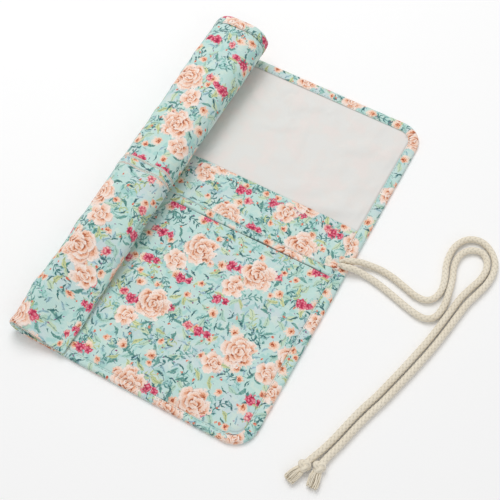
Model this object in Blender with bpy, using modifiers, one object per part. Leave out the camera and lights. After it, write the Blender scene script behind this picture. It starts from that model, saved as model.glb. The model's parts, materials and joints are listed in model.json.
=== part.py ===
"""Brush roll case: a padded cotton case for paint brushes, half rolled up on a table.

The case is a stack of flat plies bound round its edge: a printed cover, soft wadding, a plain
lining and two printed pocket plies.  Half of it is rolled into two turns.  The other half, the
tail, lies flat and folds at three creases, so that the roll can tumble along it until the case
is shut.  A rope, folded in two, is sewn into the free edge and ties round the closed case.

Metres, +Z up.  +Y runs along the roll, +X from the roll to the free edge.  The origin is at the
middle of the case's footprint, on the table.
"""
import math

import bmesh
import bpy
from mathutils import Vector

# Overall sizes
CASE_LENGTH = 0.360             # along the roll
ROLL_FLAT = 0.0103              # flat stretch under the roll's thicker end
TAIL_LENGTH = 0.1782            # from the roll to the free edge
NEAR_RADIUS = 0.013             # of the outer turn at the near end, which is pressed flat
FAR_RADIUS = 0.022              # of the outer turn at the far end, which stands round
CORNER_RADIUS = 0.022           # of the free edge's two corners
HALF_TURNS = 4                  # of the roll, counted from the table inwards
INNER_FLAT = 0.0012             # flat stretch between the last half turn and the inner binding

# Plies
COVER_THICK = 0.0007
WADDING_THICK = 0.0008
LINING_THICK = 0.0005
POCKET_THICK = 0.0005
PLY_GAP = 0.0003                # between neighbouring plies, and between a ply and the binding
TURN_GAP = 0.0004               # between one turn of the roll and the next

# Binding and pockets
BINDING_THICK = 0.0006
BINDING_WIDTH = 0.010           # along the far edge, the free edge and the inner end
NEAR_BINDING_WIDTH = 0.0065
BINDING_BEVEL = 0.0008
PLY_INSET = 0.0012              # from the case's edge to the bound plies' edge
POCKET_BACK_DEPTH = 0.230       # from the near edge to the back pocket's mouth
POCKET_FRONT_DEPTH = 0.1765     # from the near edge to the front pocket's mouth

# Creases
CREASE_LEAD = 0.0046            # from the roll's bulge to the first crease
CREASE_GAP = 0.0004             # between the plies on the two sides of a crease
FOLD_ROOM = 0.004               # left between the folded roll and the next crease

# Rope
ROPE_DIAMETER = 0.0062
ROPE_LIFT = 0.0001              # between the rope and the table
SEAM_Y = 0.0128                 # where the rope leaves the free edge's seam
LEG_SPACING = 0.0068            # between the rope's two strands in the seam
BIGHT_FLATTENING = 0.6          # thickness of the sewn bend, as a share of the rope's
BIGHT_END = 0.0164              # from the free edge to where the strands leave the bend
NOTCH_LENGTH = 0.0138           # cut in the lining and the pockets for the sewn bend
NOTCH_WIDTH = 0.0172
KNOT_DIAMETER = 0.0106
KNOT_HEIGHT = 0.0098
TUFT_LENGTH = 0.0125
TUFT_WIDTH = 0.0086
TUFT_HEIGHT = 0.0062
TUFT_NECK = 0.6                 # of the tuft's width, where it leaves its knot

ARC_STEPS = 10                  # facets in a half turn of the roll
CORNER_STEPS = 8                # facets in a rounded corner

# Routes of the two strands, x from the free edge, in metres; each ends at its knot.
ROUTE_A = [
    (-0.0157, 0.0162, 0.0056), (-0.0098, 0.0160, 0.0074), (-0.0044, 0.0168, 0.0078),
    (0.0010, 0.0190, 0.0075), (0.0078, 0.0222, 0.0056), (0.0158, 0.0242, 0.0037),
    (0.0258, 0.0249, 0.0032), (0.0378, 0.0234, 0.0032), (0.0508, 0.0199, 0.0032),
    (0.0628, 0.0166, 0.0032), (0.0728, 0.0172, 0.0032), (0.0788, 0.0234, 0.0032),
    (0.0807, 0.0335, 0.0032), (0.0787, 0.0450, 0.0032), (0.0748, 0.0565, 0.0032),
    (0.0730, 0.0690, 0.0032), (0.0748, 0.0813, 0.0032), (0.0818, 0.0912, 0.0032),
    (0.0928, 0.0946, 0.0032), (0.1036, 0.0902, 0.0032), (0.1116, 0.0812, 0.0032),
    (0.1147, 0.0698, 0.0032), (0.1137, 0.0570, 0.0032), (0.1100, 0.0440, 0.0032),
    (0.1060, 0.0310, 0.0032), (0.1034, 0.0170, 0.0032), (0.1012, 0.0030, 0.0032),
    (0.0988, -0.0110, 0.0032), (0.0958, -0.0255, 0.0032), (0.0918, -0.0420, 0.0032),
    (0.0879, -0.0570, 0.0032), (0.0839, -0.0715, 0.0032), (0.0797, -0.0860, 0.0032),
    (0.0749, -0.1000, 0.0032), (0.0706, -0.1140, 0.0032), (0.0671, -0.1275, 0.0032),
    (0.0637, -0.1400, 0.0032), (0.0607, -0.1500, 0.0036), (0.0592, -0.1563, 0.0044),
]
ROUTE_B = [
    (-0.0157, 0.0094, 0.0056), (-0.0098, 0.0092, 0.0074), (-0.0044, 0.0098, 0.0078),
    (0.0012, 0.0115, 0.0075), (0.0078, 0.0129, 0.0056), (0.0153, 0.0132, 0.0037),
    (0.0278, 0.0116, 0.0032), (0.0448, 0.0073, 0.0032), (0.0598, 0.0030, 0.0032),
    (0.0728, 0.0004, 0.0032), (0.0812, 0.0014, 0.0032), (0.0868, 0.0074, 0.0032),
    (0.0888, 0.0190, 0.0032), (0.0875, 0.0335, 0.0032), (0.0849, 0.0475, 0.0032),
    (0.0812, 0.0600, 0.0032), (0.0813, 0.0720, 0.0032), (0.0872, 0.0812, 0.0032),
    (0.0970, 0.0844, 0.0032), (0.1044, 0.0796, 0.0032), (0.1077, 0.0700, 0.0032),
    (0.1067, 0.0585, 0.0032), (0.1026, 0.0465, 0.0032), (0.0985, 0.0330, 0.0032),
    (0.0964, 0.0195, 0.0032), (0.0942, 0.0055, 0.0032), (0.0917, -0.0090, 0.0032),
    (0.0887, -0.0235, 0.0032), (0.0847, -0.0400, 0.0032), (0.0808, -0.0550, 0.0032),
    (0.0768, -0.0695, 0.0032), (0.0727, -0.0840, 0.0032), (0.0678, -0.0980, 0.0032),
    (0.0636, -0.1120, 0.0032), (0.0601, -0.1255, 0.0032), (0.0567, -0.1380, 0.0032),
    (0.0528, -0.1495, 0.0036), (0.0483, -0.1612, 0.0044),
]
KNOT_A = (0.0580, -0.1620)      # x from the free edge
KNOT_B = (0.0469, -0.1668)
TUFT_TURN_A = math.radians(-83)     # direction in which each tuft points
TUFT_TURN_B = math.radians(-102)


def above(ply, thickness):
    """Lower and upper height of the ply that lies on another one."""
    low = ply[1] + PLY_GAP
    return low, low + thickness


COVER = (0.0, COVER_THICK)
WADDING = above(COVER, WADDING_THICK)
LINING = above(WADDING, LINING_THICK)
POCKET_BACK = above(LINING, POCKET_THICK)
POCKET_FRONT = above(POCKET_BACK, POCKET_THICK)
BINDING_TOP = LINING[1] + PLY_GAP + BINDING_THICK
STACK_TOP = max(POCKET_FRONT[1], BINDING_TOP)
TURN_PITCH = STACK_TOP + TURN_GAP

HALF_LENGTH = CASE_LENGTH / 2
ROLL_HEIGHT = 2 * max(NEAR_RADIUS, FAR_RADIUS)
ROLL_WIDTH = ROLL_HEIGHT + ROLL_FLAT
FREE_EDGE_X = (ROLL_WIDTH + TAIL_LENGTH) / 2
ROLL_LEFT_X = -FREE_EDGE_X
BULGE_X = ROLL_LEFT_X + ROLL_WIDTH

# The creases' axis lies in the middle of the stack.  Each crease stands far enough along for the
# roll, already folded over at the one before, to pass above the ply beyond it.
AXIS_Z = STACK_TOP / 2
RELIEF = STACK_TOP - AXIS_Z + CREASE_GAP
ROLL_CREASE_X = BULGE_X + CREASE_LEAD
INNER_CREASE_X = ROLL_CREASE_X + ROLL_HEIGHT - AXIS_Z + FOLD_ROOM
MIDDLE_CREASE_X = INNER_CREASE_X + ROLL_CREASE_X - ROLL_LEFT_X + FOLD_ROOM

for old in list(bpy.data.objects):
    bpy.data.objects.remove(old, do_unlink=True)

CASE = bpy.data.collections.new("brush_roll_case")
bpy.context.scene.collection.children.link(CASE)


def fabric(name, colour, roughness):
    """Material of one finish."""
    material = bpy.data.materials.new(name)
    material.use_nodes = True
    shader = material.node_tree.nodes["Principled BSDF"]
    shader.inputs["Base Color"].default_value = (*colour, 1.0)
    shader.inputs["Roughness"].default_value = roughness
    return material


FINISHES = {
    "printed_cotton": ((0.56, 0.72, 0.68), 0.85),
    "plain_cotton": ((0.78, 0.76, 0.73), 0.88),
    "wadding": ((0.86, 0.85, 0.82), 0.95),
    "rope_cotton": ((0.72, 0.66, 0.54), 0.90),
}


def pivot(name, x, z, parent=None):
    """Empty on a body's joint axis; the pieces of the body hang on it."""
    empty = bpy.data.objects.new(name, None)
    empty.empty_display_size = 0.02
    CASE.objects.link(empty)
    empty.parent = parent
    place = Vector((x, 0, z))
    while parent:
        place -= parent.location
        parent = parent.parent
    empty.location = place
    return empty


TAIL_END = pivot("tail_end_origin", 0, 0)
TAIL_MIDDLE = pivot("tail_middle_axis", MIDDLE_CREASE_X, AXIS_Z, TAIL_END)
TAIL_INNER = pivot("tail_inner_axis", INNER_CREASE_X, AXIS_Z, TAIL_MIDDLE)
ROLL = pivot("roll_axis", ROLL_CREASE_X, AXIS_Z, TAIL_INNER)


def pivot_place(body):
    """Where a body's empty stands in the world."""
    place = Vector((0, 0, 0))
    while body:
        place += body.location
        body = body.parent
    return place


def add_piece(name, data, finish, body):
    """One named piece, with its own material, hung on its body's empty."""
    piece = bpy.data.objects.new(name, data)
    CASE.objects.link(piece)
    piece.parent = body
    data.materials.append(fabric(name + "_" + finish, *FINISHES[finish]))
    return piece


def smooth(mesh):
    """Shade a mesh smooth except at real edges."""
    mesh.shade_smooth()
    mesh.set_sharp_from_angle(angle=math.radians(40))


def flat_ply(name, outline, ply, finish, body):
    """Flat ply: a filled outline, extruded to its thickness."""
    place = pivot_place(body)
    data = bpy.data.curves.new(name, "CURVE")
    data.dimensions = "2D"
    data.fill_mode = "BOTH"
    data.extrude = (ply[1] - ply[0]) / 2
    spline = data.splines.new("POLY")
    spline.points.add(len(outline) - 1)
    for point, (x, y) in zip(spline.points, outline):
        point.co = (x - place.x, y, 0, 1)
    spline.use_cyclic_u = True
    piece = add_piece(name, data, finish, body)
    piece.location.z = (ply[0] + ply[1]) / 2 - place.z
    return piece


def curved_ply(name, rows, thickness, finish, body):
    """Ply that bends: its outer face as rows of points, thickened inwards."""
    place = pivot_place(body)
    width = len(rows[0])
    faces = []
    for row in range(len(rows) - 1):
        for column in range(width - 1):
            corner = row * width + column
            faces.append((corner, corner + width, corner + width + 1, corner + 1))
    mesh = bpy.data.meshes.new(name)
    mesh.from_pydata([Vector(point) - place for row in rows for point in row], [], faces)
    smooth(mesh)
    piece = add_piece(name, mesh, finish, body)
    shell = piece.modifiers.new("thickness", "SOLIDIFY")
    shell.thickness = thickness
    shell.offset = -1
    shell.use_even_offset = True
    return piece


def roll_line(height, y, start_x, end_inset):
    """Line of a ply's face through the roll at y, from start_x on the tail to end_inset short of
    the inner end.  Height in the stack becomes a distance inwards from the roll's outer face."""
    share = (y + HALF_LENGTH) / CASE_LENGTH
    radius = NEAR_RADIUS + (FAR_RADIUS - NEAR_RADIUS) * share
    right_x = BULGE_X - (radius - TURN_PITCH / 2)
    left_x = ROLL_LEFT_X + radius
    line = [(start_x, y, height)]
    for half_turn in range(HALF_TURNS):
        turn_radius = radius - half_turn * TURN_PITCH / 2 - height
        going_up = half_turn % 2 == 0
        centre_x = left_x if going_up else right_x
        centre_z = radius if going_up else radius + TURN_PITCH / 2
        first = -math.pi / 2 if going_up else math.pi / 2
        for step in range(ARC_STEPS + 1):
            angle = first - math.pi * step / ARC_STEPS
            x = centre_x + turn_radius * math.cos(angle)
            line.append((x, y, centre_z + turn_radius * math.sin(angle)))
    end_x = right_x - INNER_FLAT - FLANGE + end_inset
    line.append((end_x, y, HALF_TURNS / 2 * TURN_PITCH + height))
    return line


def roll_ply(name, ply, y_low, y_high, start_x, end_inset, finish):
    """Ply of the roll between two places along it."""
    near = roll_line(ply[0], y_low, start_x, end_inset)
    far = roll_line(ply[0], y_high, start_x, end_inset)
    return curved_ply(name, list(zip(near, far)), ply[1] - ply[0], finish, ROLL)


def binding_profile(width):
    """Half-open fold of the binding round an edge: distances in from the edge, and heights."""
    return [(width, BINDING_TOP), (BINDING_BEVEL, BINDING_TOP), (0, BINDING_TOP - BINDING_BEVEL),
            (0, BINDING_BEVEL), (BINDING_BEVEL, 0), (width, 0)]


def binding_strip(name, rows, body):
    """Binding folded round an edge: rows of its profile, one behind the other along the edge."""
    return curved_ply(name, rows, BINDING_THICK, "printed_cotton", body)


# Each of the three flat bodies, from the roll outwards: its name, its empty and its two ends.
SECTIONS = [
    ("inner", TAIL_INNER, ROLL_CREASE_X, INNER_CREASE_X),
    ("middle", TAIL_MIDDLE, INNER_CREASE_X, MIDDLE_CREASE_X),
    ("end", TAIL_END, MIDDLE_CREASE_X, FREE_EDGE_X),
]
NEAR_EDGE = -HALF_LENGTH
FAR_EDGE = HALF_LENGTH
POCKET_BACK_Y = NEAR_EDGE + POCKET_BACK_DEPTH
POCKET_FRONT_Y = NEAR_EDGE + POCKET_FRONT_DEPTH
NOTCH_X = FREE_EDGE_X - BINDING_WIDTH - PLY_GAP - NOTCH_LENGTH


def ply_span(near_inset, far_y, far_inset):
    """Lowest and highest y of a ply."""
    return NEAR_EDGE + near_inset, far_y - far_inset


# What each ply is: heights, span in y, distance from the free edge and from the roll's inner
# end, finish, and how far short of each crease it stops on the side that folds up.
FLANGE = BINDING_WIDTH + PLY_GAP
NEAR_FLANGE = NEAR_BINDING_WIDTH + PLY_GAP
PLIES = {
    "cover": (COVER, ply_span(NEAR_FLANGE, FAR_EDGE, FLANGE), FLANGE, "printed_cotton", CREASE_GAP),
    "wadding": (WADDING, ply_span(PLY_INSET, FAR_EDGE, PLY_INSET), PLY_INSET, "wadding", CREASE_GAP),
    "lining": (LINING, ply_span(PLY_INSET, FAR_EDGE, PLY_INSET), PLY_INSET, "plain_cotton", RELIEF),
    "pocket_back": (POCKET_BACK, ply_span(NEAR_FLANGE, POCKET_BACK_Y, 0), FLANGE,
                    "printed_cotton", RELIEF),
    "pocket_front": (POCKET_FRONT, ply_span(NEAR_FLANGE, POCKET_FRONT_Y, 0), FLANGE,
                     "printed_cotton", RELIEF),
}


def free_corner(inset, side, y_edge):
    """Free-edge corner of a ply that lies inset from the free edge and reaches y_edge: points
    from the free edge round to the long edge of that side, which is 1 far and -1 near."""
    reach = side * y_edge
    centre_x = FREE_EDGE_X - CORNER_RADIUS
    centre = HALF_LENGTH - CORNER_RADIUS
    radius = CORNER_RADIUS - inset
    if reach <= centre:
        return [(FREE_EDGE_X - inset, y_edge)]
    height = reach - centre
    points = []
    for step in range(CORNER_STEPS + 1):
        angle = math.pi / 2 * step / CORNER_STEPS
        points.append((centre_x + radius * math.cos(angle), side * (centre + height * math.sin(angle))))
    return points


def end_outline(x_low, span, inset, notched):
    """Outline of a ply of the tail's end, whose free-edge corners are round.  A notched ply that
    reaches the rope's sewn bend is cut away round it, up to its own far side if that comes first."""
    low, high = span
    near = free_corner(inset, -1, low)
    far = free_corner(inset, 1, high)
    points = [(x_low, high), (x_low, low)] + near[::-1]
    notch_low = SEAM_Y - NOTCH_WIDTH / 2
    notch_high = SEAM_Y + NOTCH_WIDTH / 2
    if notched and high > notch_low:
        right_x = FREE_EDGE_X - inset
        points += [(right_x, notch_low), (NOTCH_X, notch_low)]
        if high <= notch_high:
            return points + [(NOTCH_X, high)]
        points += [(NOTCH_X, notch_high), (right_x, notch_high)]
    return points + far


for part, (ply, span, inset, finish, relief) in PLIES.items():
    roll_ply(part + "_roll", ply, *span, ROLL_CREASE_X - relief, inset, finish)
    for section, body, x_low, x_high in SECTIONS:
        name = part + "_" + section
        if section == "end":
            outline = end_outline(x_low + CREASE_GAP, span, inset, part not in ("cover", "wadding"))
        else:
            low, high = span
            x_stop = x_high - relief
            outline = [(x_low + CREASE_GAP, low), (x_stop, low), (x_stop, high), (x_low + CREASE_GAP, high)]
        flat_ply(name, outline, ply, finish, body)

# The binding is one long strip folded round the whole edge; it is parted at the creases, and the
# part along the roll's inner end lies between the two that follow the roll's ends.
for side, edge_y, width in ((-1, NEAR_EDGE, NEAR_BINDING_WIDTH), (1, FAR_EDGE, BINDING_WIDTH)):
    label = "near" if side < 0 else "far"
    lines = []
    for inset, height in binding_profile(width):
        lines.append(roll_line(height, edge_y - side * inset, ROLL_CREASE_X - RELIEF, FLANGE))
    rows = list(zip(*lines))
    binding_strip("binding_roll_" + label, rows if side < 0 else rows[::-1], ROLL)
    for section, body, x_low, x_high in SECTIONS[:2]:
        rows = []
        for x in (x_high - RELIEF, x_low + CREASE_GAP):
            rows.append([(x, edge_y - side * inset, height) for inset, height in binding_profile(width)])
        binding_strip("binding_" + label + "_" + section, rows if side < 0 else rows[::-1], body)

rows = []
for y in (NEAR_EDGE, FAR_EDGE):
    rows.append([roll_line(height, y, ROLL_CREASE_X, inset)[-1]
                 for inset, height in binding_profile(BINDING_WIDTH)])
binding_strip("binding_roll_inner_end", rows, ROLL)


def end_binding_rows():
    """Rows of the binding round the tail's end: far edge, corner, free edge, corner, near edge.
    The near edge's binding is narrower, and the width changes round the near corner."""
    path = [((MIDDLE_CREASE_X + CREASE_GAP, FAR_EDGE), math.pi / 2, BINDING_WIDTH)]
    centre_x = FREE_EDGE_X - CORNER_RADIUS
    for side in (1, -1):
        centre_y = side * (HALF_LENGTH - CORNER_RADIUS)
        for step in range(CORNER_STEPS + 1):
            share = step / CORNER_STEPS
            angle = math.pi / 2 * (1 - share if side > 0 else -share)
            width = BINDING_WIDTH
            if side < 0:
                width += (NEAR_BINDING_WIDTH - BINDING_WIDTH) * share
            place = (centre_x + CORNER_RADIUS * math.cos(angle), centre_y + CORNER_RADIUS * math.sin(angle))
            path.append((place, angle, width))
    path.append(((MIDDLE_CREASE_X + CREASE_GAP, NEAR_EDGE), -math.pi / 2, NEAR_BINDING_WIDTH))
    rows = []
    for (x, y), angle, width in path:
        rows.append([(x - inset * math.cos(angle), y - inset * math.sin(angle), height)
                     for inset, height in binding_profile(width)])
    return rows


binding_strip("binding_end", end_binding_rows(), TAIL_END)


# The rope: one length folded in two.  Its bend is pressed flat and sewn into the free edge, and
# its two strands end in knots, past which the fibres are frayed into tufts.
ROPE_RADIUS = ROPE_DIAMETER / 2


def smooth_route(points, spacing):
    """Points at even distances along the smooth curve through a route's points."""
    knots = [Vector(point) for point in points]
    knots = [2 * knots[0] - knots[1]] + knots + [2 * knots[-1] - knots[-2]]
    fine = []
    for before, start, end, after in zip(knots, knots[1:], knots[2:], knots[3:]):
        for step in range(24):
            t = step / 24
            bend = 2 * start + (end - before) * t
            bend += (2 * before - 5 * start + 4 * end - after) * t ** 2
            bend += (3 * start - before - 3 * end + after) * t ** 3
            fine.append(bend / 2)
    fine.append(knots[-2])
    length = sum((b - a).length for a, b in zip(fine, fine[1:]))
    count = round(length / spacing)
    places = [fine[0]]
    walked = 0.0
    for a, b in zip(fine, fine[1:]):
        stretch = (b - a).length
        while len(places) < count and walked + stretch >= len(places) * length / count:
            places.append(a.lerp(b, (len(places) * length / count - walked) / stretch))
        walked += stretch
    return places + [fine[-1]]


def rope_tube(name, places, flattening=1.0):
    """Rope along a line of points, with closed ends; a flattened one is thinner in height."""
    data = bpy.data.curves.new(name, "CURVE")
    data.dimensions = "3D"
    data.bevel_depth = ROPE_RADIUS
    data.bevel_resolution = 2
    data.use_fill_caps = True
    spline = data.splines.new("POLY")
    spline.points.add(len(places) - 1)
    for point, (x, y, z) in zip(spline.points, places):
        point.co = (x, y, z / flattening, 1)
    piece = add_piece(name, data, "rope_cotton", TAIL_END)
    piece.scale.z = flattening
    return piece


for name, route in (("rope_strand_a", ROUTE_A), ("rope_strand_b", ROUTE_B)):
    places = []
    for place in smooth_route(route, 2 * ROPE_DIAMETER):
        lowest = ROPE_RADIUS + ROPE_LIFT
        places.append((FREE_EDGE_X + place.x, place.y, max(place.z, lowest)))
    rope_tube(name, places)

# The bend starts where the strands end, runs back along both and turns round between them.
bight_z = ROUTE_A[0][2] - ROPE_RADIUS * (1 - BIGHT_FLATTENING)
bight_x = FREE_EDGE_X - BIGHT_END
turn_radius = LEG_SPACING / 2
turn_x = NOTCH_X + PLY_GAP + turn_radius + ROPE_RADIUS
bend = [(bight_x, SEAM_Y + turn_radius, bight_z)]
for step in range(9):
    angle = math.pi / 2 + math.pi * step / 8
    bend.append((turn_x + turn_radius * math.cos(angle), SEAM_Y + turn_radius * math.sin(angle), bight_z))
bend.append((bight_x, SEAM_Y - turn_radius, bight_z))
rope_tube("rope_bight", bend, BIGHT_FLATTENING)


def knot(name, place):
    """Overhand knot, as a slightly pressed ball."""
    mesh = bpy.data.meshes.new(name)
    ball = bmesh.new()
    bmesh.ops.create_uvsphere(ball, u_segments=14, v_segments=9, radius=KNOT_DIAMETER / 2)
    bmesh.ops.scale(ball, vec=(1, 1, KNOT_HEIGHT / KNOT_DIAMETER), verts=ball.verts)
    ball.to_mesh(mesh)
    ball.free()
    smooth(mesh)
    piece = add_piece(name, mesh, "rope_cotton", TAIL_END)
    piece.location = (FREE_EDGE_X + place[0], place[1], KNOT_HEIGHT / 2 + ROPE_LIFT)


def tuft(name, place, turn):
    """Frayed end past a knot: a flattened cone that widens away from it."""
    mesh = bpy.data.meshes.new(name)
    cone = bmesh.new()
    bmesh.ops.create_cone(cone, cap_ends=True, segments=14, radius1=TUFT_NECK * TUFT_WIDTH / 2,
                          radius2=TUFT_WIDTH / 2, depth=TUFT_LENGTH)
    bmesh.ops.scale(cone, vec=(TUFT_HEIGHT / TUFT_WIDTH, 1, 1), verts=cone.verts)
    cone.to_mesh(mesh)
    cone.free()
    smooth(mesh)
    piece = add_piece(name, mesh, "rope_cotton", TAIL_END)
    reach = KNOT_DIAMETER / 2 + PLY_GAP + TUFT_LENGTH / 2
    piece.rotation_euler = (0, math.pi / 2, turn)
    piece.location = (FREE_EDGE_X + place[0] + reach * math.cos(turn),
                      place[1] + reach * math.sin(turn), TUFT_HEIGHT / 2 + ROPE_LIFT)


knot("rope_knot_a", KNOT_A)
knot("rope_knot_b", KNOT_B)
tuft("rope_tuft_a", KNOT_A, TUFT_TURN_A)
tuft("rope_tuft_b", KNOT_B, TUFT_TURN_B)
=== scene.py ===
"""Brush roll case: the looks of the padded cotton case, its print, seams and tie rope.

Metres, +Z up.  +Y runs along the roll and +X from the roll to the free edge.
"""
import json
import math

import bpy
import numpy as np
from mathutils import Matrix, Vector


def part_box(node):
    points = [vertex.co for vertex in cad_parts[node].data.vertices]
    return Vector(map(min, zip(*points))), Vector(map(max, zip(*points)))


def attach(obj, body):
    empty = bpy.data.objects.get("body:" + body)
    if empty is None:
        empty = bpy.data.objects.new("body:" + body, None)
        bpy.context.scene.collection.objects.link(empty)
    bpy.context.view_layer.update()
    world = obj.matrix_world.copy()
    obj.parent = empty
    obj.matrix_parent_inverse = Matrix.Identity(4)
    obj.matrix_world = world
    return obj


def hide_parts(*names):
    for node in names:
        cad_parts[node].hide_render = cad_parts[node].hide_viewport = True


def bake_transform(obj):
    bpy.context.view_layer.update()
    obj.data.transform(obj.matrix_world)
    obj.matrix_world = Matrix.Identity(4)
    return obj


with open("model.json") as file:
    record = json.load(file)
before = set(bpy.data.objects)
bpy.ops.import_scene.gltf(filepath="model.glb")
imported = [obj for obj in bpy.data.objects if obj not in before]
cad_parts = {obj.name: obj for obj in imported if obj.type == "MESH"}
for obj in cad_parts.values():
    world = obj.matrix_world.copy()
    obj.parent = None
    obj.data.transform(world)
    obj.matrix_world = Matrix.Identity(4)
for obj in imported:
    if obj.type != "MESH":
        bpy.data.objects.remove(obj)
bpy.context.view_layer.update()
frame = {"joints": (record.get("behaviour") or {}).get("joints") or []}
place_in_scene = bpy.context.scene.collection.objects.link


# ------------------------------------------------------------------ table, light and camera
# A white table and a large soft light overhead, with a weaker one from the side, so that cloth
# shows its folds by soft shade only.

def linear(code):
    """Linear colour of an sRGB hex code."""
    parts = [int(code[i:i + 2], 16) / 255 for i in (1, 3, 5)]
    channels = [c / 12.92 if c <= 0.04045 else ((c + 0.055) / 1.055) ** 2.4 for c in parts]
    return (*channels, 1.0)


def node(tree, kind, inputs=(), **settings):
    """One shader node: its kind, with an operation after a dot, its inputs in order or by name
    or number, and its settings.  An input is a value, a socket or a node's first output."""
    kind, _, operation = kind.partition(".")
    made = tree.nodes.new("ShaderNode" + kind)
    if operation:
        made.operation = operation
    for key, value in settings.items():
        setattr(made, key, value)
    for key, value in inputs.items() if isinstance(inputs, dict) else enumerate(inputs):
        if isinstance(value, bpy.types.Node):
            value = value.outputs[0]
        if isinstance(value, bpy.types.NodeSocket):
            tree.links.new(value, made.inputs[key])
        else:
            made.inputs[key].default_value = value
    return made


def finish(tree, output, colour, relief, strength, depth, **sockets):
    """Surface of a material: its colour, the height, strength and depth of a fine bump, and the
    shader's other inputs, with _ for a space."""
    bump = node(tree, "Bump", {"Strength": strength, "Distance": depth, "Height": relief})
    inputs = {name.replace("_", " "): value for name, value in sockets.items()}
    shader = node(tree, "BsdfPrincipled", {"Base Color": colour, "Normal": bump, **inputs})
    tree.links.new(shader.outputs[0], output.inputs["Surface"])


def new_material(name):
    """Empty material with its output node; gives back the material, its tree and the output."""
    material = bpy.data.materials.new(name)
    material.use_nodes = True
    tree = material.node_tree
    tree.nodes.clear()
    return material, tree, tree.nodes.new("ShaderNodeOutputMaterial")


# Matt white table top.
table_white, tree, output = new_material("white_laminate_matt")
shader = node(tree, "BsdfDiffuse", {"Color": linear("#FFFFFF")})
tree.links.new(shader.outputs[0], output.inputs["Surface"])

TABLE_SIZE = 6.0
table_mesh = bpy.data.meshes.new("table_top")
half = TABLE_SIZE / 2
corners = [(-half, -half, 0), (half, -half, 0), (half, half, 0), (-half, half, 0)]
table_mesh.from_pydata(corners, [], [(0, 1, 2, 3)])
table_mesh.materials.append(table_white)
table_top = bpy.data.objects.new("table_top", table_mesh)
table_top.location.z = -0.0002
place_in_scene(table_top)

world = bpy.data.worlds.new("soft_white_room")
world.use_nodes = True
world.node_tree.nodes["Background"].inputs["Color"].default_value = linear("#FFFFFF")
world.node_tree.nodes["Background"].inputs["Strength"].default_value = 0.52
bpy.context.scene.world = world

# Each lamp: place, size and power; all point at the middle of the case.
LAMPS = {
    "overhead": ((-0.55, 0.60, 1.6), 1.1, 16.2),
    "side": ((1.3, -0.9, 1.1), 1.2, 2.6),
}
for lamp_name, (place, size, power) in LAMPS.items():
    light = bpy.data.lights.new(lamp_name, "AREA")
    light.size = size
    light.energy = power
    lamp = bpy.data.objects.new(lamp_name, light)
    lamp.location = place
    lamp.rotation_euler = (-Vector(place)).to_track_quat("-Z", "Y").to_euler()
    place_in_scene(lamp)

CAMERA_PLACE = (0.2351, -0.3892, 0.8221)
CAMERA_AZIMUTH = math.radians(28.74)
CAMERA_ELEVATION = math.radians(62.39)
camera_data = bpy.data.cameras.new("camera")
camera_data.lens = 73.66
camera_data.sensor_width = 36.0
camera = bpy.data.objects.new("camera", camera_data)
camera.location = CAMERA_PLACE
camera.rotation_euler = (math.pi / 2 - CAMERA_ELEVATION, 0, CAMERA_AZIMUTH)
place_in_scene(camera)
bpy.context.scene.camera = camera
bpy.context.scene.view_settings.view_transform = "Standard"


# ------------------------------------------------------------------ tie rope
# One length of soft eight-strand braid of natural cotton.  It is folded in two and its bend is
# sewn into the free edge; each strand crosses the binding and lies loose on the table.
FREE_EDGE_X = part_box("binding_end")[1].x
ROPE_DIAMETER = 0.0062
ROPE_REST_Z = 3.2               # height of its middle where it lies on the table, in millimetres
ROPE_STEP = 0.0006              # spacing of the rings along it
BRAID_STRANDS = 4               # that turn each way
BRAID_PITCH = 0.019             # length in which a strand goes once round
BRAID_RELIEF = 0.17             # depth of the grooves, as a share of the radius

# Routes of the two strands in millimetres, x from the free edge.  Where no height is given the
# rope lies on the table.
ROUTE_A = [
    (-15.7, 16.2, 5.6), (-9.8, 16.0, 7.4), (-4.4, 16.8, 7.8), (1.0, 19.0, 7.5), (7.8, 22.2, 5.6),
    (15.8, 24.2, 3.7), (25.8, 24.9), (37.8, 23.4), (50.8, 19.9), (62.8, 16.6), (72.8, 17.2),
    (78.8, 23.4), (80.7, 33.5), (78.7, 45.0), (74.8, 56.5), (73.0, 69.0), (74.8, 81.3),
    (81.8, 91.2), (92.8, 94.6), (103.6, 90.2), (111.6, 81.2), (114.7, 69.8), (113.7, 57.0),
    (110.0, 44.0), (106.0, 31.0), (103.4, 17.0), (101.2, 3.0), (98.8, -11.0), (95.8, -25.5),
    (91.8, -42.0), (87.9, -57.0), (83.9, -71.5), (79.7, -86.0), (74.9, -100.0), (70.6, -114.0),
    (67.1, -127.5), (63.7, -140.0), (60.7, -150.0, 3.6), (59.2, -156.3, 4.4),
]
ROUTE_B = [
    (-15.7, 9.4, 5.6), (-9.8, 9.2, 7.4), (-4.4, 9.8, 7.8), (1.2, 11.5, 7.5), (7.8, 12.9, 5.6),
    (15.3, 13.2, 3.7), (27.8, 11.6), (44.8, 7.3), (59.8, 3.0), (72.8, 0.4), (81.2, 1.4),
    (86.8, 7.4), (88.8, 19.0), (87.5, 33.5), (84.9, 47.5), (81.2, 60.0), (81.3, 72.0),
    (87.2, 81.2), (97.0, 84.4), (104.4, 79.6), (107.7, 70.0), (106.7, 58.5), (102.6, 46.5),
    (98.5, 33.0), (96.4, 19.5), (94.2, 5.5), (91.7, -9.0), (88.7, -23.5), (84.7, -40.0),
    (80.8, -55.0), (76.8, -69.5), (72.7, -84.0), (67.8, -98.0), (63.6, -112.0), (60.1, -125.5),
    (56.7, -138.0), (52.8, -149.5, 3.6), (48.3, -161.2, 4.4),
]


def distances(points):
    """Length walked along a line up to each of its points."""
    return np.concatenate([[0], np.cumsum(np.linalg.norm(np.diff(points, axis=0), axis=1))])


def at_distances(marks, walked, points):
    """Places on a line at the given distances along it."""
    return np.stack([np.interp(marks, walked, points[:, axis]) for axis in range(3)], axis=1)


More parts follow.
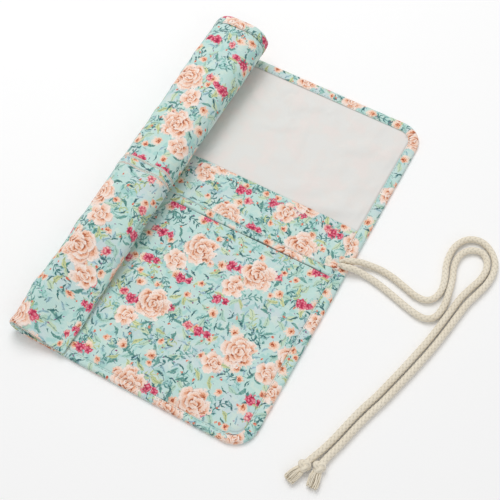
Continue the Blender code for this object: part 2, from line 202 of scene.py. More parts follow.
def smooth_path(points, spacing):
    """Array of evenly spaced places on the smooth curve through a route's points."""
    given = np.array(points, float)
    given = np.vstack([2 * given[0] - given[1], given, 2 * given[-1] - given[-2]])
    t = np.linspace(0, 1, 24, endpoint=False)[:, None]
    fine = []
    for before, start, end, after in zip(given, given[1:], given[2:], given[3:]):
        bend = 2 * start + (end - before) * t + (2 * before - 5 * start + 4 * end - after) * t ** 2
        fine.append((bend + (3 * start - before - 3 * end + after) * t ** 3) / 2)
    fine = np.vstack(fine + [given[-2]])
    walked = distances(fine)
    return at_distances(np.linspace(0, walked[-1], round(walked[-1] / spacing) + 1), walked, fine)


def add_piece(name, points, faces, uv, material, **shading):
    """Object from arrays of points and faces, with a cloth UV in metres, a smooth surface and
    arrays of numbers that the material reads by name."""
    mesh = bpy.data.meshes.new(name)
    mesh.from_pydata(points.reshape(-1, 3), [], faces)
    layer = mesh.uv_layers.new(name="cloth")
    corners = np.empty(len(mesh.loops), int)
    mesh.loops.foreach_get("vertex_index", corners)
    layer.data.foreach_set("uv", uv.reshape(-1, 2)[corners].astype(np.float32).ravel())
    for attribute, values in shading.items():
        layer = mesh.attributes.new(attribute, "FLOAT", "POINT")
        layer.data.foreach_set("value", values.astype(np.float32).ravel())
    mesh.shade_smooth()
    mesh.set_sharp_from_angle(angle=math.radians(50))
    mesh.materials.append(material)
    piece = bpy.data.objects.new(name, mesh)
    place_in_scene(piece)
    return piece


def shifted(faces, start):
    """Faces whose vertices are counted from start."""
    return [tuple(start + corner for corner in face) for face in faces]


def tube_faces(rings, sides, closed):
    """Quads of a tube; its ends are closed by one face each unless it runs into itself."""
    faces = []
    for ring in range(rings if closed else rings - 1):
        start = ring * sides
        after = (ring + 1) % rings * sides
        for side in range(sides):
            beside = (side + 1) % sides
            faces.append((start + side, start + beside, after + beside, after + side))
    if not closed:
        faces.append(tuple(range(sides - 1, -1, -1)))
        faces.append(tuple(range((rings - 1) * sides, rings * sides)))
    return faces


def braided_rope(name, path, radius, closed=False):
    """Tube along a path whose surface carries the braid's crossing strands."""
    sides = 28
    ahead = np.gradient(path, axis=0)
    if closed:
        ahead = np.roll(path, -1, axis=0) - np.roll(path, 1, axis=0)
    ahead /= np.linalg.norm(ahead, axis=1)[:, None]
    side_way = np.cross(ahead, (0, 0, 1))
    side_way /= np.linalg.norm(side_way, axis=1)[:, None]
    up_way = np.cross(side_way, ahead)
    walked = distances(path)[:, None]
    turn = np.linspace(0, 2 * np.pi, sides, endpoint=False)[None, :]
    right = BRAID_STRANDS * (turn / (2 * np.pi) - walked / BRAID_PITCH)
    left = BRAID_STRANDS * (turn / (2 * np.pi) + walked / BRAID_PITCH)
    over = 0.5 + 0.5 * np.cos(np.pi * (right + left))
    height = np.maximum(np.abs(np.cos(np.pi * right)) ** 0.6 * (0.45 + 0.55 * over),
                        np.abs(np.cos(np.pi * left)) ** 0.6 * (1 - 0.55 * over))
    reach = radius * (1 - BRAID_RELIEF + BRAID_RELIEF * height)
    ring = np.cos(turn)[..., None] * side_way[:, None] + np.sin(turn)[..., None] * up_way[:, None]
    points = path[:, None] + reach[..., None] * ring
    uv = np.stack(np.broadcast_arrays(walked, turn * radius), axis=-1)
    faces = tube_faces(len(path), sides, closed)
    return add_piece(name, points, faces, uv, rope_cotton, groove=height)


# Natural cotton yarn, unbleached and unglazed: a warm cream that is matt, with short soft fibres
# that catch light at the edge and shade deep in the grooves between strands.
rope_cotton, tree, output = new_material("natural_cotton_braid")
place = node(tree, "TexCoord").outputs["Object"]
groove = node(tree, "Attribute", attribute_name="groove").outputs["Fac"]
fibre = node(tree, "TexNoise", {"Vector": place, "Scale": 900.0, "Detail": 3.0})
patch = node(tree, "TexNoise", {"Vector": place, "Scale": 60.0, "Detail": 2.0})
yarn = node(tree, "Mix", {0: patch, 6: linear("#F6EEDD"), 7: linear("#EBDFC8")},
            data_type="RGBA")
# Painted shade: the yarn is darker deep in the braid's grooves, where the groove attribute is low;
# on the frayed ends that attribute is a random tone for each yarn.
depth = node(tree, "MapRange", [groove, 0.30, 0.80, 0.72, 1.0])
shade = node(tree, "Mix", {0: 1.0, 6: yarn.outputs[2], 7: depth}, data_type="RGBA",
             blend_type="MULTIPLY")
finish(tree, output, shade.outputs[2], fibre, 0.5, 0.0004,
       Roughness=0.92, Sheen_Weight=0.35, Sheen_Roughness=0.6, Specular_IOR_Level=0.2)

KNOT_LOOP = 0.00112             # size of the knot's three-lobed line
KNOT_ROPE = 0.0027              # radius of the rope where the knot presses it
TUFT_YARNS = 70
TUFT_YARN_RADIUS = 0.00044
TUFT_LENGTH = 0.0150
TUFT_WIDTH = 0.0104
TUFT_INSIDE = 0.0025            # how far inside the knot its yarns start


def knot(name, centre):
    """Overhand knot: the rope's line passes three times over itself, drawn tight."""
    t = np.linspace(0, 2 * np.pi, 120, endpoint=False)
    line = np.stack([np.sin(t) + 2 * np.sin(2 * t), np.cos(t) - 2 * np.cos(2 * t),
                     -1.15 * np.sin(3 * t)], axis=1)
    return braided_rope(name, np.array(centre) + KNOT_LOOP * line, KNOT_ROPE, closed=True)


def tuft(name, place, turn, seed):
    """Frayed end: loose yarns that fan out from the knot and are cut to about one length."""
    random = np.random.default_rng(seed)
    along = np.array((math.cos(turn), math.sin(turn), 0.0))
    across = np.array((-math.sin(turn), math.cos(turn), 0.0))
    upward = np.array((0, 0, 1.0))
    t = np.linspace(0, 1, 9)[:, None]
    points, faces, uv = [], [], []
    sides = 6
    for _ in range(TUFT_YARNS):
        spot = random.uniform(-1, 1, 2)
        while np.hypot(*spot) > 1:
            spot = random.uniform(-1, 1, 2)
        fan = spot[0] * across * (0.62 + 0.38 * np.sin(t * 2.0)) * TUFT_WIDTH / 2
        lift = upward * (0.0038 + spot[1] * (0.0022 + 0.0009 * np.sin(t * 2.4)))
        reach = TUFT_LENGTH * random.uniform(0.82, 1.04)
        wave = across * np.sin(t * random.uniform(3, 7) + random.uniform(0, 6)) * 0.0003
        line = place + along * (t * reach) + fan + lift + wave
        ring = np.linspace(0, 2 * np.pi, sides, endpoint=False)
        yarn_radius = TUFT_YARN_RADIUS * (1.15 - 0.3 * t)
        circle = np.cos(ring)[None, :, None] * across + np.sin(ring)[None, :, None] * upward
        start = sum(len(p) for p in points)
        points.append((line[:, None] + yarn_radius[..., None] * circle).reshape(-1, 3))
        faces += shifted(tube_faces(len(t), sides, False), start)
        uv.append(np.zeros((len(t) * sides, 2)))
    grey = np.concatenate([np.full(len(p), random.uniform(0.5, 1.0)) for p in points])
    return add_piece(name, np.vstack(points), faces, np.vstack(uv), rope_cotton, groove=grey)


SEAM_Y = 0.0128
SEAM_X = FREE_EDGE_X - 0.0103   # where the strands come out from under the pocket
PRESSED_Z = 0.0039              # middle of the pressed rope under the pocket
PRESSED_SHARE = 0.36            # its thickness there, as a share of the round rope's


def press_into_seam(vertex):
    """Flattens the rope where it is sewn down and pinches it where it comes out of the seam."""
    place = vertex.co
    if place.x > FREE_EDGE_X + 0.004:
        return
    way = min(max((place.x - SEAM_X + 0.0015) / 0.0050, 0.0), 1.0)
    sewn = 1 - way * way * (3 - 2 * way)
    line_z = 0.0056 + 0.0018 * min(max((place.x - FREE_EDGE_X + 0.0157) / 0.0059, 0.0), 1.0)
    place.z = place.z * (1 - sewn) + (PRESSED_Z + (place.z - line_z) * PRESSED_SHARE) * sewn
    pinch = math.exp(-((place.x - SEAM_X) / 0.0045) ** 2)
    place.y = SEAM_Y + (place.y - SEAM_Y) * (1 - 0.36 * pinch)


for side, route, tuft_turn, seed in (("a", ROUTE_A, math.radians(-83), 156),
                                     ("b", ROUTE_B, math.radians(-112), 207)):
    knot_low, knot_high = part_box("rope_knot_" + side)
    knot_centre = (knot_low + knot_high) / 2
    places = [(FREE_EDGE_X + x / 1000, y / 1000, (height or [ROPE_REST_Z])[0] / 1000)
              for x, y, *height in route]
    strand_path = smooth_path(places + [tuple(knot_centre)], ROPE_STEP)
    strand = braided_rope("tie_rope_" + side, strand_path, ROPE_DIAMETER / 2)
    for vertex in strand.data.vertices:
        press_into_seam(vertex)
    tie_knot = knot("tie_knot_" + side, knot_centre)
    outwards = np.array((math.cos(tuft_turn), math.sin(tuft_turn), 0))
    tuft_start = np.array(knot_centre.xy.to_3d()) + TUFT_INSIDE * outwards
    frayed_end = tuft("frayed_end_" + side, tuft_start, tuft_turn, seed)
    for piece, cad_node in ((strand, "rope_strand_"), (tie_knot, "rope_knot_"),
                            (frayed_end, "rope_tuft_")):
        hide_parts(cad_node + side)
        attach(piece, "tail_end")

# The sewn bend between the two strands, pressed flat under the pocket's edge.
bend_low, bend_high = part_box("rope_bight")
leg_y = (bend_high.y - bend_low.y - ROPE_DIAMETER) / 2
bend_middle = (bend_low + bend_high) / 2
bend_centre_x = bend_low.x + ROPE_DIAMETER / 2 + leg_y
turn = np.linspace(np.pi / 2, 3 * np.pi / 2, 30)
bend_path = np.stack([bend_centre_x + leg_y * np.cos(turn), bend_middle.y + leg_y * np.sin(turn),
                      np.full(len(turn), bend_middle.z)], axis=1)
bend_path = np.vstack([[bend_high.x, bend_middle.y + leg_y, bend_middle.z], bend_path,
                       [bend_high.x, bend_middle.y - leg_y, bend_middle.z]])
bend = braided_rope("tie_rope_bend", smooth_path(bend_path, ROPE_STEP), ROPE_DIAMETER / 2)
for vertex in bend.data.vertices:
    vertex.co.z = PRESSED_Z + (vertex.co.z - bend_middle.z) * PRESSED_SHARE
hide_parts("rope_bight")
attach(bend, "tail_end")


# ------------------------------------------------------------------ shape of the stack of cloth
# Every ply follows one sheet, flat on the table in the tail and wound up in the roll.  A place
# on it is (s, y, h): s is x in the tail and runs on into the roll, h is the height in the stack.
CREASE_X = {joint["name"]: joint["pos_m"][0] for joint in frame["joints"]}
ROLL_X = CREASE_X["roll_fold"]
SPLIT_INNER = (CREASE_X["roll_fold"] + CREASE_X["inner_fold"]) / 2
SPLIT_MIDDLE = (CREASE_X["inner_fold"] + CREASE_X["middle_fold"]) / 2
HALF_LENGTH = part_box("binding_end")[1].y
STACK_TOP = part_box("pocket_front_end")[1].z
TURN_PITCH = STACK_TOP + 0.0004
ROLL_LEFT_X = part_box("cover_roll")[0].x
BULGE_X = ROLL_X - 0.0046
NEAR_RADIUS = 0.013
FAR_RADIUS = 0.022
INNER_STRAIGHT = 0.0115
LAST_STATION = 9                # straight and curved stretches of the roll, counted inwards
STEP = 0.0022                   # spacing of the cloth's rows
COLUMN = 0.0028                 # spacing of its columns
FINE_COLUMN = 0.0006            # and of those where it has narrow detail


def roll_sizes(y):
    """Radius of the outer turn at y, and x of the centres of the left and right half turns."""
    radius = NEAR_RADIUS + (FAR_RADIUS - NEAR_RADIUS) * (y + HALF_LENGTH) / (2 * HALF_LENGTH)
    return radius, ROLL_LEFT_X + radius, BULGE_X - (radius - TURN_PITCH / 2)


radius, left_x, right_x = roll_sizes(0.0)
stretches = [ROLL_X - left_x]
for half_turn in range(4):
    stretches.append(math.pi * (radius - half_turn * TURN_PITCH / 2))
    stretches.append(right_x - left_x)
stretches[-1] = INNER_STRAIGHT
STATION_S = ROLL_X - np.concatenate([[0], np.cumsum(stretches)])
INNER_END_S = STATION_S[-1]


def eased(value, low, high):
    """Smooth step from 0 at low to 1 at high."""
    t = np.clip((value - low) / (high - low), 0, 1)
    return t * t * (3 - 2 * t)


def station_of(s):
    """Place on the row of stretches: its whole part is the stretch, counted inwards."""
    return np.interp(-s, -STATION_S, np.arange(LAST_STATION + 1))


def case_points(s, y, h):
    """Places in the world of places on the stack; arrays of one shape."""
    s, y, h = np.broadcast_arrays(s, y, h)
    radius, left_x, right_x = roll_sizes(y)
    station = station_of(s)
    stretch = np.minimum(station.astype(int), LAST_STATION - 1)
    share = station - stretch
    turns = stretch // 2
    leftward = turns % 2 == 0
    start_x = np.where(stretch == 0, ROLL_X, np.where(leftward, right_x, left_x))
    end_x = np.where(leftward, left_x, right_x)
    end_x = np.where(stretch == LAST_STATION - 1, right_x - INNER_STRAIGHT, end_x)
    straight_x = start_x + (end_x - start_x) * share
    straight_z = np.where(leftward, turns / 2 * TURN_PITCH + h,
                          2 * radius - (turns - 1) / 2 * TURN_PITCH - h)
    angle = np.where(leftward, -np.pi / 2, np.pi / 2) - np.pi * share
    reach = radius - turns * TURN_PITCH / 2 - h
    curved_x = np.where(leftward, left_x, right_x) + reach * np.cos(angle)
    curved_z = np.where(leftward, radius, radius + TURN_PITCH / 2) + reach * np.sin(angle)
    x = np.where(stretch % 2 == 0, straight_x, curved_x)
    z = np.where(stretch % 2 == 0, straight_z, curved_z)
    x = np.where(s >= ROLL_X, s, x)
    z = np.where(s >= ROLL_X, h, z)
    # The near end is pressed down: the roll closes there and slopes towards the tail.
    pressed = 1 - eased(y, -HALF_LENGTH, -0.1 * HALF_LENGTH)
    slope = eased(x, ROLL_LEFT_X + 0.004, BULGE_X - 0.006)
    keep = 1 - pressed * (0.16 + 0.66 * slope)
    z = np.where((z > STACK_TOP) & (s < ROLL_X), STACK_TOP + (z - STACK_TOP) * keep, z)
    # At the far end the turns stand looser and the outer ones have slipped along.
    loose = eased(y, 0.1 * HALF_LENGTH, HALF_LENGTH) * (s < ROLL_X)
    lifted = eased(z, STACK_TOP, 0.030) * loose
    x = x + 0.0035 * lifted * eased(x, left_x, right_x)
    z = z + 0.0012 * lifted
    return np.stack([x, y + 0.0045 * lifted, z], axis=-1)


def ripple(u, v, length, seed):
    """Soft unevenness of cloth, mostly between -1 and 1, of about the given wavelength."""
    random = np.random.default_rng(seed)
    total = 0.0
    for _ in range(10):
        turn = random.uniform(0, 2 * np.pi)
        wave = 2 * np.pi / length * random.uniform(0.6, 1.5)
        phase = random.uniform(0, 2 * np.pi)
        total = total + np.cos(wave * (u * np.cos(turn) + v * np.sin(turn)) + phase)
    return total / 4


def grid_quads(grid):
    """Faces between neighbouring vertices of a grid of vertex numbers."""
    corners = [grid[:-1, :-1], grid[1:, :-1], grid[1:, 1:], grid[:-1, 1:]]
    return np.stack(corners, axis=-1).reshape(-1, 4)


def rows_between(low, high):
    """Values of s from low to high, closer together at the creases."""
    marks = [low, high]
    for crease in CREASE_X.values():
        marks += [crease - 0.006, crease + 0.004]
    marks = sorted(mark for mark in set(marks) if low <= mark <= high)
    rows = [low]
    for start, end in zip(marks, marks[1:]):
        in_crease = any(crease - 0.0061 < start < crease + 0.0039 for crease in CREASE_X.values())
        count = max(1, round((end - start) / (STEP / 2 if in_crease else STEP)))
        rows += list(np.linspace(start, end, count + 1)[1:])
    return np.array(rows)


POCKET_BACK_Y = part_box("pocket_back_end")[1].y
POCKET_FRONT_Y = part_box("pocket_front_end")[1].y
FACING = 0.0085                 # folded band above the front pocket's mouth
FACING_TOP = POCKET_FRONT_Y + FACING
FACING_PRINT = np.array((0.183, 0.291))     # the band is cut from another place in the print
CORNER_RADIUS = 0.022
BINDING_WIDTH = 0.010
NEAR_BINDING_WIDTH = 0.0065
NEAR_SEAM_Y = NEAR_BINDING_WIDTH - HALF_LENGTH      # the binding's inner edge along the near edge
FAR_SEAM_Y = HALF_LENGTH - BINDING_WIDTH
CORNER_X = FREE_EDGE_X - CORNER_RADIUS              # centre of the two rounded corners
CORNER_Y = HALF_LENGTH - CORNER_RADIUS


def reach_y(s, inset, side, y_edge):
    """How far a ply reaches towards the far (1) or near (-1) edge at s, round the free corners."""
    radius = CORNER_RADIUS - inset
    beyond = np.clip((s - CORNER_X) / radius, 0, 1)
    corner = CORNER_Y + radius * np.sqrt(1 - beyond ** 2)
    return side * np.minimum(side * y_edge, np.where(s > CORNER_X, corner, HALF_LENGTH))


def columns_between(low, high, fine):
    """Values of y from low to high, closer together within the given fine stretches."""
    marks = sorted({low, high, *(mark for pair in fine for mark in pair if low < mark < high)})
    columns = [low]
    for start, end in zip(marks, marks[1:]):
        close = any(first <= (start + end) / 2 <= last for first, last in fine)
        count = max(1, math.ceil((end - start) / (FINE_COLUMN if close else COLUMN)))
        columns += list(np.linspace(start, end, count + 1))[1:]
    return np.array(columns)


def slab(name, rows, y_low, y_high, fine, heights, material, uv_shift):
    """Closed ply of cloth: rows of places between y_low and y_high, and its two faces' heights."""
    columns = columns_between(float(y_low.min()), float(y_high.max()), fine)
    share = ((columns - columns[0]) / (columns[-1] - columns[0]))[None, :]
    s = np.broadcast_to(rows[:, None], (len(rows), len(columns)))
    y = y_low[:, None] + (y_high - y_low)[:, None] * share
    # The heights also give painted shade for narrow folds and seams, kept as an attribute.
    low, high, tuck = heights(s, y)
    points = np.stack([case_points(s, y, low), case_points(s, y, high)])
    uv = np.stack([s, y], axis=-1) + np.array(uv_shift)
    uv[(y < FACING_TOP) & (y > POCKET_FRONT_Y)] += FACING_PRINT
    uv = np.stack([uv, uv])
    count = s.size
    grid = np.arange(count).reshape(s.shape)
    quads = grid_quads(grid)
    faces = [quads + count, quads[:, ::-1]]
    for line in (grid[0, ::-1], grid[-1, :], grid[:, 0], grid[::-1, -1]):
        faces.append(np.stack([line[:-1], line[1:], line[1:] + count, line[:-1] + count], axis=-1))
    return add_piece(name, points, np.vstack(faces).tolist(), uv, material,
                     tuck=np.stack([tuck, tuck]))


# The three lengths of each ply, and the crease that each one bends at.
LENGTHS = {
    "roll": (INNER_END_S, SPLIT_INNER, "roll_fold"),
    "middle": (SPLIT_INNER, SPLIT_MIDDLE, "inner_fold"),
    "end": (SPLIT_MIDDLE, FREE_EDGE_X, "middle_fold"),
}
# CAD nodes that each length stands for.
LENGTH_NODES = {"roll": ["roll"], "middle": ["inner", "middle"], "end": ["end"]}


def bend_at_crease(piece, length):
    """Bakes a piece's placement into its mesh."""
    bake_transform(piece)


# ------------------------------------------------------------------ printed cotton
# Quilting cotton in plain weave, dyed pale aqua and screen printed with garden flowers: peach
# roses, magenta and coral blooms, teal and yellow-green leaves and fine stems.
def with_painted_shade(tree, colour):
    """Colour with painted shade in narrow folds and seams, where little light gets in."""
    tuck = node(tree, "Attribute", attribute_name="tuck")
    return node(tree, "Mix", {0: tuck.outputs["Fac"], 6: colour, 7: linear("#3A4843")},
                data_type="RGBA").outputs[2]


FULL_TURN = 6.2832


def build_print():
    """The print's colour over the cloth, from its flat UV in millimetres."""
    material, tree, output = new_material("printed_quilting_cotton")
    cloth = node(tree, "UVMap", uv_map="cloth")
    flat = node(tree, "VectorMath.SCALE", {0: cloth.outputs[0], "Scale": 1000.0}).outputs[0]
    # Brush strokes waver a little.
    loose = node(tree, "TexNoise", {"Vector": flat, "Scale": 0.22, "Detail": 3.0,
                                    "Roughness": 0.62}, noise_dimensions="2D")
    centred = node(tree, "VectorMath.SUBTRACT", [loose.outputs["Color"], (0.5, 0.5, 0.5)])
    waver = node(tree, "VectorMath.SCALE", {0: centred, "Scale": 3.6})
    drawn = node(tree, "VectorMath.ADD", [flat, waver]).outputs[0]
    bristle = node(tree, "TexNoise", {"Vector": flat, "Scale": 0.75, "Detail": 2.0,
                                      "Roughness": 0.6}, noise_dimensions="2D")
    bristle = bristle.outputs["Fac"]

    def calc(operation, *values):
        """Result of one sum on numbers."""
        return node(tree, "Math." + operation, values).outputs[0]

    def span(value, low, high, to_low=0.0, to_high=1.0):
        """Value mapped from one range to another and held inside it."""
        return node(tree, "MapRange", [value, low, high, to_low, to_high]).outputs[0]

    def tones(value, stops):
        """Colour from a row of (position, hex)."""
        ramp = node(tree, "ValToRGB", [value])
        elements = ramp.color_ramp.elements
        elements[0].position, elements[1].position = stops[0][0], stops[-1][0]
        elements[0].color, elements[1].color = linear(stops[0][1]), linear(stops[-1][1])
        for position, code in stops[1:-1]:
            elements.new(position).color = linear(code)
        return ramp.outputs[0]

    def paint(under, mask, colour):
        """Colour laid over what is there."""
        return node(tree, "Mix", {0: mask, 6: under, 7: colour}, data_type="RGBA").outputs[2]

    def length_of(offset, radius):
        """Length of an offset, as a share of a radius."""
        return calc("DIVIDE", node(tree, "VectorMath.LENGTH", [offset]).outputs["Value"], radius)

    def cells(cell, randomness, shift):
        """Motif places: offset from the nearest one, turned at random, and its random numbers."""
        moved = node(tree, "VectorMath.ADD", [drawn, (*shift, 0.0)]).outputs[0]
        spots = node(tree, "TexVoronoi", {"Vector": moved, "Scale": 1 / cell,
                                          "Randomness": randomness}, voronoi_dimensions="2D")
        offset = node(tree, "VectorMath.SUBTRACT", [moved, spots.outputs["Position"]])
        chance = node(tree, "SeparateColor", [spots.outputs["Color"]]).outputs
        angle = calc("MULTIPLY", chance[0], FULL_TURN)
        turned = node(tree, "VectorRotate", {"Vector": offset, "Angle": angle},
                      rotation_type="Z_AXIS")
        xyz = node(tree, "SeparateXYZ", [turned]).outputs
        return turned.outputs[0], xyz[0], xyz[1], chance

    def kept(mask, chance, share):
        """A mask only in the given share of the cells."""
        return calc("MULTIPLY", mask, calc("LESS_THAN", chance, share))

    def leaf(x, y, length, width, bow):
        """Mask of a pointed leaf along x, bowed sideways, and the distance from its rib."""
        square = calc("MULTIPLY", x, x)
        away = calc("ABSOLUTE", calc("MULTIPLY_ADD", square, bow, y))
        edge = calc("MULTIPLY_ADD", square, -width / length ** 2, width)
        return span(calc("SUBTRACT", edge, away), -0.12, 0.22), away

    # Ground: aqua that drifts towards mint and lavender grey, with paler washes.
    drift = node(tree, "TexNoise", {"Vector": flat, "Scale": 0.030, "Detail": 2.0},
                 noise_dimensions="2D")
    colour = tones(drift.outputs["Fac"], ((0.36, "#C6E4DC"), (0.52, "#C8E3DE"), (0.70, "#CFDFE0")))
    wash = node(tree, "TexNoise", {"Vector": drawn, "Scale": 0.11, "Detail": 2.0},
                noise_dimensions="2D")
    colour = paint(colour, span(wash, 0.58, 0.64, 0.0, 0.50), linear("#97D0CB"))
    colour = paint(colour, span(wash, 0.40, 0.33, 0.0, 0.50), linear("#DDEBDD"))

    # Sprays: a stem with pairs of small leaves.  Cell, half length, share, leaf spacing, shades.
    for cell, reach, share, spacing, shift, leaf_shade, stem_shade in (
            (23.0, 6.0, 0.55, 4.4, (11.0, 5.0), "#8CC3B8", "#7DB0A8"),
            (27.0, 8.0, 0.60, 5.0, (53.0, 31.0), "#5C9891", "#4F8783"),
            (29.0, 9.0, 0.65, 4.8, (17.0, 73.0), "#3F7A7A", "#3C6F72"),
            (29.0, 7.5, 0.50, 5.4, (83.0, 47.0), "#CBD69A", "#8DAA7E")):
        offset, x, y, chance = cells(cell, 0.9, shift)
        bent = calc("MULTIPLY_ADD", calc("MULTIPLY", x, x), 0.045, y)
        inside = calc("LESS_THAN", calc("ABSOLUTE", x), reach)
        stem = span(calc("ABSOLUTE", bent), 0.55, 0.25)
        pair = calc("FRACT", calc("DIVIDE", x, spacing))
        step_x = calc("MULTIPLY", calc("SUBTRACT", pair, 0.5), spacing)
        side_y = calc("SUBTRACT", calc("ABSOLUTE", bent), spacing * 0.42)
        leaf_x = calc("ADD", calc("MULTIPLY", step_x, 0.68), calc("MULTIPLY", side_y, 0.73))
        leaf_y = calc("SUBTRACT", calc("MULTIPLY", side_y, 0.68), calc("MULTIPLY", step_x, 0.73))
        leaves, away = leaf(leaf_x, leaf_y, spacing * 0.54, spacing * 0.17, 0.07)
        both = kept(calc("MULTIPLY", calc("MAXIMUM", stem, leaves), inside), chance[1], share)
        shade = paint(linear(leaf_shade), span(away, 0.45, 0.1, 0.0, 0.7), linear(stem_shade))
        colour = paint(colour, calc("MULTIPLY", both, span(bristle, 0.25, 0.45, 0.45, 1.0)), shade)

    # Single leaves: cell, length, width, bow, share of cells, two colours the cells vary between.
    for cell, length, width, bow, share, shift, first, second in (
            (14.0, 6.0, 2.3, 0.030, 0.60, (5.0, 3.0), "#D3E2BE", "#A5D2CB"),
            (10.0, 3.8, 1.2, 0.050, 0.60, (29.0, 57.0), "#93C7C0", "#B4CFE0"),
            (15.0, 5.6, 1.5, -0.040, 0.50, (31.0, 47.0), "#7DB3AA", "#569089"),
            (19.0, 6.2, 1.7, -0.035, 0.40, (59.0, 91.0), "#DDE0A4", "#C7D096"),
            (12.0, 4.4, 0.9, 0.060, 0.50, (77.0, 19.0), "#3F7A79", "#355F6E"),
            (7.5, 2.1, 0.42, 0.100, 0.50, (43.0, 67.0), "#4F8388", "#5F7292")):
        offset, x, y, chance = cells(cell, 0.85, shift)
        mask, away = leaf(x, y, length, width, bow)
        tint = paint(linear(first), chance[2], linear(second))
        tint = paint(tint, span(away, 0.50, 0.15, 0.0, 0.55), linear("#3B706D"))
        tint = paint(tint, span(bristle, 0.55, 0.75, 0.0, 0.5), linear("#DCEBD6"))
        colour = paint(colour, kept(mask, chance[1], share), tint)

    # Berries and buds: cell, radius, share, then colours from the heart to the rim.
    for cell, radius, share, shift, heart, body, rim in (
            (7.0, 0.62, 0.35, (3.0, 59.0), "#8A3A5C", "#9A4E78", "#8E7FB0"),
            (11.0, 1.15, 0.35, (71.0, 13.0), "#B8443F", "#D9705C", "#F2A98C"),
            (21.0, 3.0, 0.50, (65.0, 5.0), "#A8423A", "#F0A27C", "#FBDCC8"),
            (26.0, 4.2, 0.50, (23.0, 83.0), "#B0502F", "#F3B491", "#FBE3D2")):
        offset, x, y, chance = cells(cell, 0.85, shift)
        far = length_of(offset, radius)
        uneven = calc("ADD", far, span(bristle, 0.3, 0.7, -0.28, 0.28))
        mask = span(calc("ADD", uneven, calc("MULTIPLY", x, 0.08)), 1.05, 0.88)
        shade = tones(uneven, ((0.15, heart), (0.45, body), (0.92, rim)))
        colour = paint(colour, kept(mask, chance[1], share), shade)

    # Clustered blooms: small rounded petals in two pinks, often a large and a small head together.
    petals = node(tree, "TexVoronoi", {"Vector": drawn, "Scale": 1 / 2.6}, voronoi_dimensions="2D")
    petals = petals.outputs["Distance"]
    pinks = tones(petals, ((0.05, "#F3AEB8"), (0.30, "#E3667F"), (0.52, "#CB3B5F"),
                           (0.75, "#A2294B")))
    corals = tones(petals, ((0.05, "#FBD6CC"), (0.35, "#EE8C92"), (0.70, "#C73A58")))
    for cell, radius, share, shift, shade in ((34.0, 5.2, 0.62, (95.0, 37.0), pinks),
                                              (34.0, 3.6, 0.62, (87.5, 36.0), pinks),
                                              (39.0, 4.4, 0.60, (49.0, 11.0), corals)):
        offset, x, y, chance = cells(cell, 0.55, shift)
        far = length_of(offset, radius)
        lumpy = calc("MULTIPLY_ADD", petals, 0.75, far)
        mask = kept(span(lumpy, 1.28, 1.18), chance[1], share)
        deep = paint(shade, span(far, 0.40, 0.05, 0.0, 0.55), linear("#A52346"))
        colour = paint(colour, mask, deep)

    # Roses: rings of overlapping petals, each pale at its rim and brown where it tucks under the
    # next, round a darker heart.  Cell, radius, share, scatter, then the rings from outside: their
    # share of the radius, petals, turn and dip between petals.
    large = ((1.0, 5, 0.10, 0.22), (0.72, 4, 0.47, 0.22), (0.46, 3, 0.71, 0.20),
             (0.24, 2, 0.15, 0.10))
    for cell, radius, share, scatter, shift, rings in (
            (70.0, 11.0, 0.92, 0.50, (51.5, 37.0), large[:1] + large[2:]),
            (70.0, 16.0, 0.92, 0.50, (37.0, 17.0), large)):
        offset, x, y, chance = cells(cell, scatter, shift)
        distance = node(tree, "VectorMath.LENGTH", [offset]).outputs["Value"]
        turn = calc("DIVIDE", calc("ARCTAN2", y, x), FULL_TURN)
        wobble = calc("ADD", span(loose, 0.3, 0.7, -0.10, 0.10),
                      span(bristle, 0.3, 0.7, -0.02, 0.02))
        grain = calc("MULTIPLY_ADD", calc("SUBTRACT", bristle, 0.5), 0.24, 0.10)
        for place, (ring_share, count, phase, dip) in enumerate(rings):
            across = calc("FRACT", calc("MULTIPLY_ADD", turn, count, phase))
            middle = calc("SUBTRACT", across, 0.5)
            reach = radius * ring_share
            edge = calc("MULTIPLY_ADD", calc("MULTIPLY", middle, middle), -4 * dip * reach, reach)
            far = calc("ADD", calc("DIVIDE", distance, edge), wobble)
            mask = kept(span(far, 1.03, 0.97), chance[1], share)
            inner = rings[place + 1][0] / ring_share if place + 1 < len(rings) else 0.0
            depth = span(far, inner, 1.0)
            lit = calc("MULTIPLY_ADD", across, 0.44, grain)
            lit = calc("ADD", lit, calc("MULTIPLY", depth, 0.52))
            lit = calc("SUBTRACT", lit, 0.035 * place)
            shade = tones(lit, ((0.16, "#9E4E34"), (0.25, "#C97A55"), (0.34, "#EFB08F"),
                                (0.46, "#F7D0BA"), (0.64, "#FAE2D4"), (0.90, "#FDF1E9")))
            near_rim = calc("ABSOLUTE", calc("SUBTRACT", depth, 0.93))
            rim = calc("MULTIPLY", span(near_rim, 0.11, 0.03),
                       span(loose, 0.47, 0.53, 0.0, 0.75 if place else 0.35))
            colour = paint(colour, mask, paint(shade, rim, linear("#A8593C")))

    # Plain weave: 0.9 mm a pair of threads, about twice the real one, so that it shows.
    warp, weft = [node(tree, "TexWave", {"Vector": flat, "Scale": 0.35, "Distortion": 0.6,
                                         "Detail": 1.0}, bands_direction=way).outputs["Fac"]
                  for way in "XY"]
    relief = calc("ADD", calc("MULTIPLY", warp, weft), bristle)
    # Painted shade: the colour is a little darker where the weave's relief is low; the brush noise
    # in the relief adds a random tone as well.
    weave_shade_and_tone = span(relief, 0.2, 1.2, 0.93, 1.03)
    woven = node(tree, "Mix", {0: 1.0, 6: colour, 7: weave_shade_and_tone}, data_type="RGBA",
                 blend_type="MULTIPLY")
    finish(tree, output, with_painted_shade(tree, woven.outputs[2]), relief, 0.35, 0.0002,
           Roughness=0.85, Sheen_Weight=0.12, Sheen_Roughness=0.5, Specular_IOR_Level=0.25)
    return material


printed_cotton = build_print()


